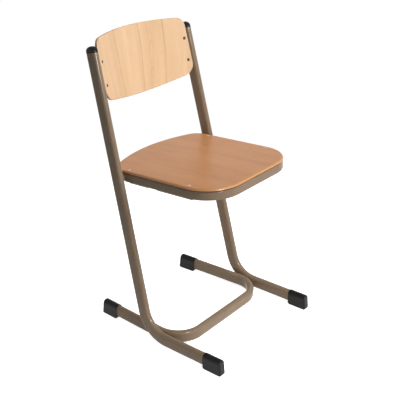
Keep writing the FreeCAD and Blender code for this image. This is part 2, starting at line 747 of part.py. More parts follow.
def make_seat_rail():
    """Square tube bent round the seat's sides and front, trimmed to the cross tube."""
    body = new_body("SeatRail")
    path = new_sketch(body, "XY_Plane", "SeatRailPath")
    half = number(RAIL_HALF)
    radius = number(RAIL_BEND)
    front = number(RAIL_FRONT)
    right = line(path, (-half, size("seat_depth")), (-half, front + radius))
    right_bend = arc(path, (radius - half, front + radius), radius, 180, 270)
    cross = line(path, (radius - half, front), (half - radius, front))
    left_bend = arc(path, (half - radius, front + radius), radius, 270, 360)
    left = line(path, (half, front + radius), (half, size("seat_depth")))
    smooth(path, right, 2, right_bend, 1)
    smooth(path, right_bend, 2, cross, 1)
    smooth(path, cross, 2, left_bend, 1)
    smooth(path, left_bend, 2, left, 1)
    for arm in (right, left):
        path.addConstraint(Sketcher.Constraint("Vertical", arm))
    path.addConstraint(Sketcher.Constraint("Equal", right_bend, left_bend))
    path.addConstraint(Sketcher.Constraint("Symmetric", right, 1, left, 2, -2))
    dimension(path, "2 * (%s)" % RAIL_HALF, "DistanceX", right, 1, left, 2)
    dimension(path, RAIL_BEND, "Radius", right_bend)
    dimension(path, RAIL_FRONT, "DistanceY", -1, 1, cross, 1)
    dimension(path, "seat_depth", "DistanceY", -1, 1, left, 2)
    section = new_sketch(body, "XZ_Plane", "SeatRailSection")
    square_section(section, "rail_width", "rail_height")
    bind(section, "AttachmentOffset.Base.x", "-(%s)" % RAIL_HALF)
    bind(section, "AttachmentOffset.Base.z", "-seat_depth")
    sweep(body, section, path)
    drop = Vector(0, 0, -size("seat_thickness") - size("rail_height") / 2)
    body.Placement = seat_place() * Placement(drop, Rotation())
    trim = doc.addObject("Part::Box", "SeatRailTrim")
    bind(trim, "Length", "2 * seat_width")
    bind(trim, "Width", "2 * seat_depth")
    bind(trim, "Height", "2 * seat_depth")
    trim_corner = Vector(-size("seat_width"), -size("bar_depth") / 2, -size("seat_depth"))
    trim.Placement = bar_place() * Placement(trim_corner, Rotation())
    cut = doc.addObject("Part::Cut", "SeatRailTrimmed")
    cut.Base = body
    cut.Tool = trim
    top_wall = "seat_thickness + rail_height / 2"
    rail = drill("SeatFrameRail", cut, seat_rivet_places(), top_wall)
    return add_node(rail, "seat_frame_rail")


def make_stacking_pad(side, where):
    """Plastic pad under a side rail, which rests on the chair or table below."""
    label = "%s_%s_pad" % (SIDE_NAMES[side], where)
    body = new_body("".join(word.title() for word in label.split("_")))
    outline = new_sketch(body, "XY_Plane", body.Name + "Outline")
    flat_oval(outline, "pad_width", where + "_pad_length")
    block = pad(body, outline, "pad_thickness", reverse=True)
    sole = -size("pad_thickness")
    round_edges(body, block, "pad_round", lambda point: near(point.z, sole))
    half = size(where + "_pad_length") / 2
    if where == "front":
        middle = size("front_pad_start") + half
    else:
        middle = rail_end() - size("rear_pad_end") - half
    under = -size("seat_thickness") - size("rail_height")
    spot = Vector(side * number(RAIL_HALF), middle, under)
    body.Placement = seat_place() * Placement(spot, Rotation())
    return add_node(body, label)


def make_seat_rivets():
    """Rivets through the seat into the rail."""
    rivets = []
    for index, place in enumerate(seat_rivet_places(), start=1):
        rivets.append(make_rivet("SeatRivet%d" % index, SEAT_GRIP, place))
    return group("seat_rivets", rivets)


# Backrest

BACKREST_GRIP = "backrest_thickness + close_gap + lug_thickness"
BACKREST_TOP = "upright_length + backrest_rise"
BACKREST_BOTTOM = "upright_length + backrest_rise - backrest_height"
BACKREST_SIDE = "(runner_spacing / 2) * cos(upright_splay) - tube_width / 2 - backrest_gap"


def backrest_rivet_height(level):
    """Corner to the lower or upper backrest rivets, along the lean."""
    height = number(BACKREST_BOTTOM) + size("backrest_rivet_up")
    return height + size("backrest_rivet_pitch") if level == "upper" else height


def backrest_rivet_out():
    """Middle of the backrest to its rivets."""
    middle = backrest_rivet_height("lower") + size("backrest_rivet_pitch") / 2
    return upright_face(middle) - size("backrest_rivet_edge")


def backrest_rivet_places():
    """Head seats of the backrest rivets by side and level, square to the hollow front."""
    places = {}
    radius = size("backrest_radius")
    out = backrest_rivet_out()
    turn = math.degrees(math.asin(out / radius))
    hub = size("backrest_hollow") - radius
    for side in (RIGHT, LEFT):
        for level in ("lower", "upper"):
            depth = hub + math.sqrt(radius**2 - out**2)
            spot = Vector(side * out, depth, backrest_rivet_height(level))
            outward = Rotation(Vector(0, 0, 1), -side * turn)
            forward = outward * Rotation(Vector(1, 0, 0), 90)
            places[side, level] = backrest_place() * Placement(spot, forward)
    return places


def make_backrest_board():
    """Plywood backrest: hollow towards the sitter, bowed at the top and bottom."""
    body = new_body("BackrestPlywood")
    band = new_sketch(body, "XY_Plane", "BackrestBand")
    radius = size("backrest_radius")
    outer = radius + size("backrest_thickness")
    hub = size("backrest_hollow") - radius
    wide = math.degrees(math.asin(size("runner_spacing") / 2 / radius))
    first = 90 - wide
    last = 90 + wide
    front = arc(band, (0, hub), radius, first, last)
    rear = arc(band, (0, hub), outer, first, last)

    def on_band(length, turn):
        angle = math.radians(turn)
        return (length * math.cos(angle), hub + length * math.sin(angle))

    left = line(band, on_band(radius, first), on_band(outer, first))
    right = line(band, on_band(radius, last), on_band(outer, last))
    for edge, turn in ((left, 1), (right, 2)):
        band.addConstraint(Sketcher.Constraint("Coincident", edge, 1, front, turn))
        band.addConstraint(Sketcher.Constraint("Coincident", edge, 2, rear, turn))
        band.addConstraint(Sketcher.Constraint("PointOnObject", front, 3, edge))
    band.addConstraint(Sketcher.Constraint("Coincident", front, 3, rear, 3))
    band.addConstraint(Sketcher.Constraint("PointOnObject", front, 3, -2))
    band.addConstraint(Sketcher.Constraint("Symmetric", front, 1, front, 2, -2))
    dimension(band, "backrest_radius", "Radius", front)
    dimension(band, "backrest_radius + backrest_thickness", "Radius", rear)
    dimension(band, "backrest_radius - backrest_hollow", "DistanceY", front, 3, -1, 1)
    dimension(band, "runner_spacing", "DistanceX", front, 2, front, 1)
    bind(band, "AttachmentOffset.Base.z", BACKREST_BOTTOM)
    pad(body, band, "backrest_height")
    cutter = cut_outline(body)

    def on_a_face(point):
        reach = math.hypot(point.x, point.y - hub)
        return near(reach, radius) or near(reach, outer)

    round_edges(body, cutter, "backrest_round", on_a_face)
    body.Placement = backrest_place()
    places = list(backrest_rivet_places().values())
    board = drill("BackrestBoard", body, places, "2 * backrest_thickness")
    return add_node(board, "backrest_board")


def cut_outline(body):
    """Cut away the bent sheet outside the backrest's outline."""
    sketch = new_sketch(body, "XZ_Plane", "BackrestOutline")
    slope = size("upright_splay")
    splay = math.radians(slope)
    lower = number(BACKREST_BOTTOM)
    upper = number(BACKREST_TOP)
    bow = size("backrest_bow")
    top_radius = size("backrest_top_corner")
    low_radius = size("backrest_low_corner")
    normal = Vector(math.cos(splay), math.sin(splay), 0)
    along = Vector(-math.sin(splay), math.cos(splay), 0)

    def corner_centre(hub, radius, upwards):
        """Centre of the corner arc that touches the side line and the bow about hub."""
        foot = normal * (number(BACKREST_SIDE) - radius)
        offset = foot - Vector(0, hub, 0)
        dot = offset.dot(along)
        step = math.sqrt(dot**2 - offset.dot(offset) + (bow - radius) ** 2)
        return foot + along * (upwards * step - dot)

    def side_point(centre, radius, side):
        point = centre + normal * radius
        return (side * point.x, point.y)

    top_hub = upper - bow
    low_hub = lower + bow
    top_corner = corner_centre(top_hub, top_radius, 1)
    low_corner = corner_centre(low_hub, low_radius, -1)
    top_turn = math.degrees(math.atan2(top_corner.y - top_hub, top_corner.x))
    low_turn = math.degrees(math.atan2(low_corner.y - low_hub, low_corner.x))
    top = arc(sketch, (0, top_hub), bow, top_turn, 180 - top_turn)
    top_right = arc(
        sketch, (-top_corner.x, top_corner.y), top_radius, 180 - top_turn, 180 - slope
    )
    right = line(
        sketch,
        side_point(top_corner, top_radius, RIGHT),
        side_point(low_corner, low_radius, RIGHT),
    )
    low_right = arc(
        sketch, (-low_corner.x, low_corner.y), low_radius, 180 - slope, 180 - low_turn
    )
    low = arc(sketch, (0, low_hub), bow, 180 - low_turn, 360 + low_turn)
    low_left = arc(sketch, (low_corner.x, low_corner.y), low_radius, low_turn, slope)
    left = line(
        sketch,
        side_point(low_corner, low_radius, LEFT),
        side_point(top_corner, top_radius, LEFT),
    )
    top_left = arc(sketch, (top_corner.x, top_corner.y), top_radius, slope, top_turn)
    ring = [top, top_right, right, low_right, low, low_left, left, top_left]
    for index, edge in enumerate(ring):
        smooth(sketch, edge, 2, ring[(index + 1) % len(ring)], 1)
    for edge, twin in ((top_right, top_left), (low_right, low_left), (top, low)):
        sketch.addConstraint(Sketcher.Constraint("Equal", edge, twin))
    for edge in (top, low):
        sketch.addConstraint(Sketcher.Constraint("PointOnObject", edge, 3, -2))
    dimension(sketch, "backrest_top_corner", "Radius", top_right)
    dimension(sketch, "backrest_low_corner", "Radius", low_right)
    dimension(sketch, "backrest_bow", "Radius", top)
    dimension(sketch, "backrest_bow - (%s)" % BACKREST_TOP, "DistanceY", top, 3, -1, 1)
    dimension(sketch, "backrest_bow + " + BACKREST_BOTTOM, "DistanceY", -1, 1, low, 3)
    slope_dimension(sketch, "90 + upright_splay", left)
    slope_dimension(sketch, "-90 - upright_splay", right)
    for edge in (left, right):
        dimension(sketch, BACKREST_SIDE, "Distance", -1, 1, edge)
    spare = 2 * size("runner_spacing")
    frame = [(-spare, lower - spare), (spare, lower - spare),
             (spare, upper + spare), (-spare, upper + spare)]
    for index, point in enumerate(frame):
        line(sketch, point, frame[(index + 1) % len(frame)])
    return cut_through(body, sketch, "Trim")


def make_lug(side, level):
    """Small steel plate on an upright's inner face, behind one backrest rivet."""
    label = "%s_%s_lug" % (level, SIDE_NAMES[side])
    name = label.title().replace("_", "")
    turn = math.asin(backrest_rivet_out() / size("backrest_radius"))
    radius = size("backrest_radius") + size("backrest_thickness") + size("close_gap")
    hub = size("backrest_hollow") - size("backrest_radius")
    height = backrest_rivet_height(level)
    half = size("lug_height") / 2
    seat_x = radius * math.sin(turn)
    face = upright_face(height + half) - size("close_gap")
    front = (face - seat_x) / math.cos(turn)
    back = front - size("lug_thickness") * math.tan(turn)
    body = new_body(name + "Plate")
    outline = new_sketch(body, "XY_Plane", name + "Outline")
    inner = "%d * lug_edge" % -side
    polygon(
        outline,
        (
            (inner, "0"),
            ("%r" % (side * front), "0"),
            ("%r" % (side * back), "lug_thickness"),
            (inner, "lug_thickness"),
        ),
    )
    pad(body, outline, "lug_height", middle=True)
    spot = Vector(side * seat_x, hub + radius * math.cos(turn), height)
    outward = Rotation(Vector(0, 0, 1), -side * math.degrees(turn))
    body.Placement = backrest_place() * Placement(spot, outward)
    place = backrest_rivet_places()[side, level]
    lug = drill(name, body, [place], "2 * (%s)" % BACKREST_GRIP)
    return add_node(lug, label)


def make_backrest_rivets():
    """Rivets through the backrest into its lugs."""
    rivets = []
    for index, place in enumerate(backrest_rivet_places().values(), start=1):
        rivets.append(make_rivet("BackrestRivet%d" % index, BACKREST_GRIP, place))
    return group("backrest_rivets", rivets)


for each_side in (RIGHT, LEFT):
    make_side_tube(each_side)
    make_top_plug(each_side)
    make_feet(each_side)
make_support_tube()
make_cross_tube()
make_seat_rail()
make_seat_board()
make_seat_rivets()
make_backrest_board()
make_backrest_rivets()
for each_side in (RIGHT, LEFT):
    for pad_name in ("front", "rear"):
        make_stacking_pad(each_side, pad_name)
    for lug_level in ("lower", "upper"):
        make_lug(each_side, lug_level)

doc.recompute()
for item in doc.Objects:
    if "Invalid" in item.State or "Error" in item.State:
        raise RuntimeError("%s did not build: %s" % (item.Label, item.State))
os.makedirs("parts", exist_ok=True)
for node in nodes:
    if node.Shape.isNull() or not node.Shape.isValid() or not node.Shape.Solids:
        raise RuntimeError("%s has no valid solid" % node.Label)
    node.Shape.exportStep("parts/%s.step" % node.Label)
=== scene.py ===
import math

import bmesh
import bpy
import numpy as np
from bpy.props import FloatProperty, FloatVectorProperty, IntProperty, PointerProperty
from mathutils import Matrix, Vector


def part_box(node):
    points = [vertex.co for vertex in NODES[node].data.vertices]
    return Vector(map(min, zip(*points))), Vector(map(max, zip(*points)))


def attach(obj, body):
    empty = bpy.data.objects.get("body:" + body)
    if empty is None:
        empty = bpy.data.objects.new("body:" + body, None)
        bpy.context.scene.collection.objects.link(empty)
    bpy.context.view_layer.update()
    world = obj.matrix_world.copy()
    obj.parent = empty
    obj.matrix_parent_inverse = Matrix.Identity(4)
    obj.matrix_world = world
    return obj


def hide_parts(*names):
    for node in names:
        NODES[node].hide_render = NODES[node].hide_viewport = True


bl_info = {
    "name": "School Chair Finish",
    "version": (1, 0, 0),
    "blender": (4, 5, 0),
    "location": "View3D > Sidebar > Chair",
    "description": "Paint, plywood, plastic, welds and rivets of a school chair on a runner frame",
    "category": "Object",
}

# Lengths are in metres and colours are linear.

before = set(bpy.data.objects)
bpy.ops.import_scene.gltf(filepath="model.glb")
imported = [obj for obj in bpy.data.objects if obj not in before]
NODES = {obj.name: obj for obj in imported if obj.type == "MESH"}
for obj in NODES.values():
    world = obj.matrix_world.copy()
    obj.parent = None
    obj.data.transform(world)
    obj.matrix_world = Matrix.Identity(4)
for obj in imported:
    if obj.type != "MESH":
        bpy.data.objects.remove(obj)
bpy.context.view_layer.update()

PAINTED_NODES = (
    "right_side_tube",
    "left_side_tube",
    "rear_support_tube",
    "seat_frame_rail",
    "seat_cross_tube",
    "upper_right_lug",
    "upper_left_lug",
    "lower_right_lug",
    "lower_left_lug",
)
BLACK_NODES = (
    "right_front_foot",
    "left_front_foot",
    "right_rear_foot",
    "left_rear_foot",
    "right_top_plug",
    "left_top_plug",
)
PAD_NODES = ("right_front_pad", "left_front_pad", "right_rear_pad", "left_rear_pad")
SIDES = (-1.0, 1.0)


# Settings


def length(name, text, default):
    """Length of the chair in metres, as a property."""
    return FloatProperty(name=name, description=text, default=default, unit="LENGTH", precision=5)


def angle(name, text, degrees):
    """Angle of the chair or of the view, as a property."""
    return FloatProperty(
        name=name, description=text, default=math.radians(degrees), subtype="ANGLE"
    )


def colour(name, text, default):
    """Linear colour of a finish, as a property."""
    return FloatVectorProperty(
        name=name, description=text, default=default, subtype="COLOR", size=3, min=0.0, max=1.0
    )


def power(name, text, watts):
    """Power of a lamp, as a property."""
    return FloatProperty(name=name, description=text, default=watts, unit="POWER")


def brightness(name, text, default):
    """Brightness from 0 to 1, as a property."""
    return FloatProperty(
        name=name, description=text, default=default, subtype="FACTOR", min=0.0, max=1.0
    )


class ChairSizes(bpy.types.PropertyGroup):
    """Places and sizes of the chair that its finish follows."""

    corner_back: length("Corner back", "Middle of the chair to the bent corner", 0.011)
    corner_height: length("Corner height", "Floor to the runner's axis", 0.023)
    lean: angle("Lean", "Lean of the uprights", 14.0)
    splay: angle("Splay", "Lean of the uprights towards each other", 1.3)
    runner_half: length("Runner half spacing", "Middle plane to a runner's axis", 0.1918)
    tube_half_width: length("Tube half width", "Half the short axis of the tubes", 0.009)
    tube_flat: length("Tube flat", "Half the flat side of the tubes' section", 0.00775)
    frame_bend: length("Frame bend", "Axis radius of the bend from runner to upright", 0.077)
    seat_tilt: angle("Seat tilt", "Fall of the seat towards the back", 3.1)
    seat_front: length("Seat front", "Middle of the chair to the seat's front edge", -0.187)
    seat_height: length("Seat height", "Floor to the top of the seat's front edge", 0.4615)
    seat_thickness: length("Seat thickness", "Plywood of the seat", 0.008)
    rail_half: length("Rail half spacing", "Middle plane to the seat rail's axis", 0.1585)
    rail_size: length("Rail size", "Width and height of the seat rail", 0.022)
    rail_wall: length("Rail wall", "Steel that the seat's rivets go through", 0.002)
    bar_depth: length("Cross tube depth", "Cross tube, front to back", 0.020)
    bar_height: length("Cross tube height", "Cross tube, bottom to top", 0.018)
    bar_round: length("Cross tube corner", "Outer corner radius of the cross tube", 0.003)
    seat_rivet_front: length("Front seat rivets", "Seat's front edge to the rivets", 0.08864)
    seat_rivet_rear: length("Rear seat rivets", "Seat's front edge to the rivets", 0.2814)
    backrest_radius: length("Backrest hollow", "Radius of the backrest's front", 0.400)
    backrest_hub: length("Backrest hub", "Uprights' plane to the hollow's axis", -0.375)
    backrest_thickness: length("Backrest thickness", "Plywood of the backrest", 0.008)
    backrest_middle: length("Backrest middle", "Corner to mid-height, along the lean", 0.690)
    rivet_out: length("Backrest rivets out", "Middle plane to the backrest's rivets", 0.15598)
    rivet_low: length("Lower backrest rivets", "Corner to the rivets, along the lean", 0.6455)
    rivet_high: length("Upper backrest rivets", "Corner to the rivets, along the lean", 0.7045)
    rivet_head: length("Rivet head", "Radius of a rivet's head", 0.0042)
    rivet_dome: length("Rivet dome", "Height of a rivet's head", 0.0017)
    rivet_shank: length("Rivet shank", "Radius of a rivet's shank", 0.0021)
    rivet_bulb: length("Rivet bulb", "Radius of a rivet's closed end", 0.0031)
    rivet_tail: length("Rivet tail", "Length of a rivet's closed end", 0.0035)
    lug_thickness: length("Lug thickness", "Steel of a backrest lug", 0.003)
    lug_height: length("Lug height", "Height of a backrest lug", 0.025)
    lug_gap: length("Lug gap", "Room between the backrest and a lug", 0.0002)
    bead: length("Weld bead", "Radius of a weld bead on the tubes", 0.0024)
    small_bead: length("Small weld bead", "Radius of a weld bead on a lug", 0.0013)
    ripple: length("Weld ripple", "Distance between the ripples of a weld bead", 0.0021)


class ChairColours(bpy.types.PropertyGroup):
    """Colours of the chair's finishes."""

    paint: colour("Frame paint", "Taupe enamel of the tubes", (0.248, 0.178, 0.117))
    seat: colour("Seat stain", "Stained beech of the seat", (0.642, 0.309, 0.134))
    seat_dark: colour("Seat grain", "Darker grain of the seat", (0.490, 0.208, 0.083))
    seat_rim: colour("Seat rim", "Veneers in the seat's rounded edge", (0.730, 0.330, 0.095))
    backrest: colour("Backrest beech", "Pale beech of the backrest", (0.835, 0.582, 0.362))
    backrest_dark: colour("Backrest grain", "Darker grain of the backrest", (0.650, 0.400, 0.215))
    veneer_dark: colour("Core veneer", "End grain of the crossed veneers", (0.480, 0.320, 0.200))
    black: colour("Black plastic", "Feet and tube plugs", (0.007, 0.007, 0.007))
    pad: colour("Pad plastic", "Stacking pads under the seat", (0.026, 0.024, 0.022))
    # Steel of all the rivets, lightened here as a painted highlight on the seat's rivets.
    rivet: colour("Seat rivets", "Zinc-plated heads of the seat's rivets", (0.700, 0.670, 0.620))
    # The same rivet steel as the seat's, darkened here as painted shade.
    shaded_rivet: colour("Backrest rivets", "Bronzed heads of its rivets", (0.130, 0.100, 0.070))


class ChairStage(bpy.types.PropertyGroup):
    """Camera, lamps and floor."""

    view_turn: angle("View turn", "Camera's turn from the chair's front", -51.12)
    view_rise: angle("View rise", "Camera's rise above the floor", 22.03)
    distance: length("Distance", "Camera to the point that it looks at", 2.1056)
    look_height: length("Look height", "Floor to the point that the camera looks at", 0.44096)
    lens: FloatProperty(name="Lens", description="Focal length", default=73.78, unit="CAMERA")
    shift_x: FloatProperty(name="Shift X", description="Sideways frame shift", default=0.0118)
    shift_y: FloatProperty(name="Shift Y", description="Upward frame shift", default=-0.0974)
    key: power("Key lamp", "Main lamp, high in front", 70.0)
    fill: power("Fill lamp", "Low lamp in front", 20.0)
    back: power("Back lamp", "Lamp behind the chair", 32.0)
    strip: power("Strip lamp", "Lamp that only shows in the gloss", 42.0)
    sky: brightness("Sky", "Even light from all round", 0.09)
    ceiling: brightness("Ceiling", "Brightness overhead, against white round the chair", 0.60)
    floor_tone: brightness("Floor tone", "Grey of the floor near the chair", 0.90)
    floor_far: brightness("Far floor", "Grey of the floor further out", 0.08)
    floor_glow: brightness("Floor glow", "Floor's own white near the chair", 0.87)


class ChairSettings(bpy.types.PropertyGroup):
    """All settings of the chair's finish."""

    sizes: PointerProperty(type=ChairSizes)
    colours: PointerProperty(type=ChairColours)
    stage: PointerProperty(type=ChairStage)
    plies: IntProperty(name="Veneers", description="Veneers in the plywood", default=7, min=3)


# Frames of the chair


def lean_frame(sizes):
    """Matrix of the uprights' plane: origin at the bent corner, Z along the lean."""
    corner = Matrix.Translation((0.0, sizes.corner_back, sizes.corner_height))
    return corner @ Matrix.Rotation(-sizes.lean, 4, "X")


def seat_frame(sizes):
    """Matrix of the seat: origin at the top of its front edge, Y towards the back."""
    front = Matrix.Translation((0.0, sizes.seat_front, sizes.seat_height))
    return front @ Matrix.Rotation(-sizes.seat_tilt, 4, "X")


def cross_tube_frame(sizes):
    """Matrix of the cross tube's middle, leaning with the uprights, and half its length."""
    low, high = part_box("seat_cross_tube")
    place = Matrix.Translation(0.5 * (low + high)) @ Matrix.Rotation(-sizes.lean, 4, "X")
    return place, high.x


def rivet_turn(sizes):
    """Angle of the backrest's rivets about the axis of its hollow."""
    return math.asin(sizes.rivet_out / sizes.backrest_radius)


def moved(points, matrix):
    """Points taken through a 4 by 4 matrix: rotation times each point, plus the shift."""
    array = np.array(matrix)
    return points @ array[:3, :3].T + array[:3, 3]


# Surfaces

# Points closer than this are one point.
MERGE_DISTANCE = 1e-7

# Ripples of a weld bead: swell as a share of its radius, and points of the path to each. Then
# the power that rounds off a bead's ends.
RIPPLE_SWELL = 0.07
RIPPLE_POINTS = 8
END_POWER = 8


def grid_object(name, grids, material, shaded_rings=0):
    """Object of one or more grids of points, each closed round its second parameter.

    A grid has the shape (rings, points round, 3). A grid whose last ring repeats its first is
    closed along the path too, and any other ends in two rings of no radius, which merge to poles.
    The attribute that the rivets' finish reads is 1 on the first given rings of each grid and 0 on
    the others; it marks the painted shade down in a rivet's dimple.
    """
    points = []
    quads = []
    shade_masks = []
    start = 0
    for grid in grids:
        rings, around = grid.shape[:2]
        ring, spoke = np.meshgrid(np.arange(rings - 1), np.arange(around), indexing="ij")
        follower = (spoke + 1) % around
        corners = (
            ring * around + spoke,
            ring * around + follower,
            (ring + 1) * around + follower,
            (ring + 1) * around + spoke,
        )
        quads.append(start + np.stack(corners, axis=-1).reshape(-1, 4))
        points.append(grid.reshape(-1, 3))
        shade_masks.append(np.repeat(np.arange(rings) < shaded_rings, around))
        start += rings * around
    mesh = bpy.data.meshes.new(name)
    mesh.from_pydata(np.concatenate(points), [], np.concatenate(quads))
    shade_mask = mesh.attributes.new("shade_mask", "FLOAT", "POINT")
    shade_mask.data.foreach_set("value", np.concatenate(shade_masks).astype(np.float32))
    work = bmesh.new()
    work.from_mesh(mesh)
    bmesh.ops.remove_doubles(work, verts=work.verts, dist=MERGE_DISTANCE)
    bmesh.ops.recalc_face_normals(work, faces=work.faces)
    work.to_mesh(mesh)
    work.free()
    mesh.polygons.foreach_set("use_smooth", np.ones(len(mesh.polygons), dtype=bool))
    mesh.materials.append(material)
    piece = bpy.data.objects.new(name, mesh)
    bpy.context.scene.collection.objects.link(piece)
    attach(piece, "root")
    return piece


def bead_grid(path, side, radius, ripple, closed=False, around=14):
    """Weld bead: a circle carried along a path, its radius waved and, if open, closed at the ends.

    The radius at length s and turn a is R * end(s) * (1 + swell * cos(2 pi s / ripple - cos a)),
    where end(s) is 1 on a closed path and (1 - (2 s / S - 1)^power)^0.5 on an open one of length S.
    A closed path has a whole number of ripples.
    """
    step = np.linalg.norm(np.diff(path, axis=0), axis=1)
    along = np.concatenate(([0.0], np.cumsum(step)))
    total = along[-1]
    if closed:
        waves = 2.0 * np.pi * round(total / ripple) / total
        end = np.ones_like(along)
        extended = np.concatenate((path[-2:-1], path, path[1:2]))
        tangent = extended[2:] - extended[:-2]
    else:
        waves = 2.0 * np.pi / ripple
        end = np.sqrt(np.clip(1.0 - (2.0 * along / total - 1.0) ** END_POWER, 0.0, 1.0))
        tangent = np.gradient(path, axis=0)
    tangent /= np.linalg.norm(tangent, axis=1, keepdims=True)
    normal = side - (side * tangent).sum(axis=1, keepdims=True) * tangent
    normal /= np.linalg.norm(normal, axis=1, keepdims=True)
    binormal = np.cross(tangent, normal)
    turn = np.linspace(0.0, 2.0 * np.pi, around, endpoint=False)
    wave = np.cos(waves * along[:, None] - np.cos(turn)[None, :])
    reach = radius * end[:, None] * (1.0 + RIPPLE_SWELL * wave)
    ring = np.cos(turn)[None, :, None] * normal[:, None, :]
    ring = ring + np.sin(turn)[None, :, None] * binormal[:, None, :]
    return path[:, None, :] + reach[:, :, None] * ring


def straight_path(first, last, ripple):
    """Points from first to last at even steps, several to each ripple of a bead."""
    first = np.asarray(first, dtype=float)
    last = np.asarray(last, dtype=float)
    count = int(RIPPLE_POINTS * np.linalg.norm(last - first) / ripple) + 2
    share = np.linspace(0.0, 1.0, count)[:, None]
    return first + (last - first) * share


def turned_grid(radii, heights, around=40):
    """Surface of revolution: radius r(t) and height z(t) carried round the Z axis."""
    turn = np.linspace(0.0, 2.0 * np.pi, around, endpoint=False)
    x = radii[:, None] * np.cos(turn)[None, :]
    y = radii[:, None] * np.sin(turn)[None, :]
    z = np.repeat(heights[:, None], around, axis=1)
    return np.stack((x, y, z), axis=-1)


# Weld beads

# Middle of the gap between two tubes side by side, and a bead's distance off faces that meet.
WELD_GAP = 0.0002
WELD_LIFT = 0.0004

# Upper runner bead: height over the tube's flat, fullness, and its ends from front to back.
UPPER_RISE = 0.0020
UPPER_FULLNESS = 1.15
UPPER_ENDS = (-0.026, 0.012)

# Lower runner bead: depth under the tube's flat, the part of the bend it covers, and its points.
LOWER_DROP = 0.0025
LOWER_TURN = (math.radians(16.0), math.radians(36.0))
LOWER_POINTS = 120

# Cross tube beads: distance in from the ends, points round, and how fast a turn reaches a corner.
END_INSET = 0.0006
RING_POINTS = 321
CORNER_PULL = 1.8


def runner_welds(sizes):
    """Beads between the bent corners and the support tube's arms.

    The upper bead is straight in the valley above the arm. The lower one follows the tube's bend:
    Y = y0 + r sin(t) and Z = z0 - r cos(t) about the bend's centre.
    """
    face = sizes.runner_half - sizes.tube_half_width
    half_turn = (math.pi / 2 - sizes.lean) / 2
    centre_y = sizes.corner_back - sizes.frame_bend * math.tan(half_turn)
    centre_z = sizes.corner_height + sizes.frame_bend
    height = sizes.corner_height + sizes.tube_flat + UPPER_RISE
    reach = sizes.frame_bend + sizes.tube_flat + LOWER_DROP
    turn = np.linspace(*LOWER_TURN, LOWER_POINTS)
    y = centre_y + reach * np.sin(turn)
    z = centre_z - reach * np.cos(turn)
    grids = []
    for side in SIDES:
        x = side * (face - WELD_GAP)
        inward = np.array((-side, 0.0, 0.0))
        front, rear = ((x, end, height) for end in UPPER_ENDS)
        upper = straight_path(front, rear, sizes.ripple)
        grids.append(bead_grid(upper, inward, UPPER_FULLNESS * sizes.bead, sizes.ripple))
        lower = np.stack((np.full_like(y, x), y, z), axis=-1)
        grids.append(bead_grid(lower, inward, sizes.bead, sizes.ripple))
    return grids


def cross_tube_welds(sizes):
    """Beads round the cross tube's two ends: a rounded rectangle in the tube's section.

    At turn a, Y = clip(pull * c cos a) + r cos a and Z = clip(pull * d sin a) + r sin a. A corner's
    radius is r and its centre lies at c and d, which are also the limits of the clips.
    """
    place, half_length = cross_tube_frame(sizes)
    turn = np.linspace(0.0, 2.0 * np.pi, RING_POINTS)
    corner_y = sizes.bar_depth / 2 - sizes.bar_round
    corner_z = sizes.bar_height / 2 - sizes.bar_round
    y = np.clip(CORNER_PULL * corner_y * np.cos(turn), -corner_y, corner_y)
    z = np.clip(CORNER_PULL * corner_z * np.sin(turn), -corner_z, corner_z)
    y = y + sizes.bar_round * np.cos(turn)
    z = z + sizes.bar_round * np.sin(turn)
    grids = []
    for side in SIDES:
        x = np.full_like(y, side * (half_length - END_INSET))
        ring = np.stack((x, y, z), axis=-1)
        ring[-1] = ring[0]
        outward = np.array((side, 0.0, 0.0))
        grid = bead_grid(ring, outward, sizes.bead, sizes.ripple, closed=True)
        grids.append(moved(grid, place))
    return grids


def seat_rail_welds(sizes):
    """Upright beads on the flanks of each rail end, on the front of the cross tube.

    A flank that lies at the cross tube's end has no room for a bead and gets none.
    """
    place, half_length = cross_tube_frame(sizes)
    y = -sizes.bar_depth / 2 - WELD_LIFT
    half = sizes.bar_height / 2 - sizes.bar_round
    forward = np.array((0.0, -1.0, 0.0))
    grids = []
    for side in SIDES:
        for flank in SIDES:
            x = side * sizes.rail_half + flank * (sizes.rail_size / 2 + WELD_LIFT)
            if abs(x) > half_length - sizes.bead:
                continue
            path = straight_path((x, y, -half), (x, y, half), sizes.ripple)
            grids.append(moved(bead_grid(path, forward, sizes.bead, sizes.ripple), place))
    return grids


def lug_welds(sizes):
    """Upright beads where each lug's front and back edge meets its upright.

    X follows the upright's inner face: half spacing - height * tan(splay) - half tube width. Y is
    on the lug's face, square to the hollow at its rivet: hub + radius / cos(turn) - X * tan(turn).
    """
    place = lean_frame(sizes)
    turn = rivet_turn(sizes)
    radius = sizes.backrest_radius + sizes.backrest_thickness
    grids = []
    for height in (sizes.rivet_low, sizes.rivet_high):
        ends = np.array((height - sizes.lug_height / 2, height + sizes.lug_height / 2))
        face = sizes.runner_half - ends * math.tan(sizes.splay)
        face = face - sizes.tube_half_width / math.cos(sizes.splay)
        for offset, push in ((0.0, -WELD_LIFT), (sizes.lug_thickness, WELD_LIFT)):
            back = sizes.backrest_hub + (radius + offset) / math.cos(turn)
            y = back - face.mean() * math.tan(turn) + push
            for side in SIDES:
                bottom = (side * face[0], y, ends[0])
                top = (side * face[1], y, ends[1])
                path = straight_path(bottom, top, sizes.ripple)
                inward = np.array((-side, 0.0, 0.0))
                grid = bead_grid(path, inward, sizes.small_bead, sizes.ripple)
                grids.append(moved(grid, place))
    return grids


# Rivets

# Dimple in a rivet's head: radius and depth as shares of the head's, then its rings from the
# middle outwards, as shares of that radius and of that depth. The first rings show the stem,
# which the finish darkens as painted shade down in the hole.
DIMPLE_RADIUS = 0.34
DIMPLE_DEPTH = 0.55
DIMPLE_RINGS = np.array((0.0, 0.35, 0.72, 0.86, 1.0))
DIMPLE_SUNK = np.array((0.75, 0.75, 0.70, 0.25, 0.0))
SHADED_STEM_RINGS = 3

# Rings of the dome round the dimple, and share of the tail that its end narrows over.
DOME_RINGS = 14
TAIL_EDGE = 0.25


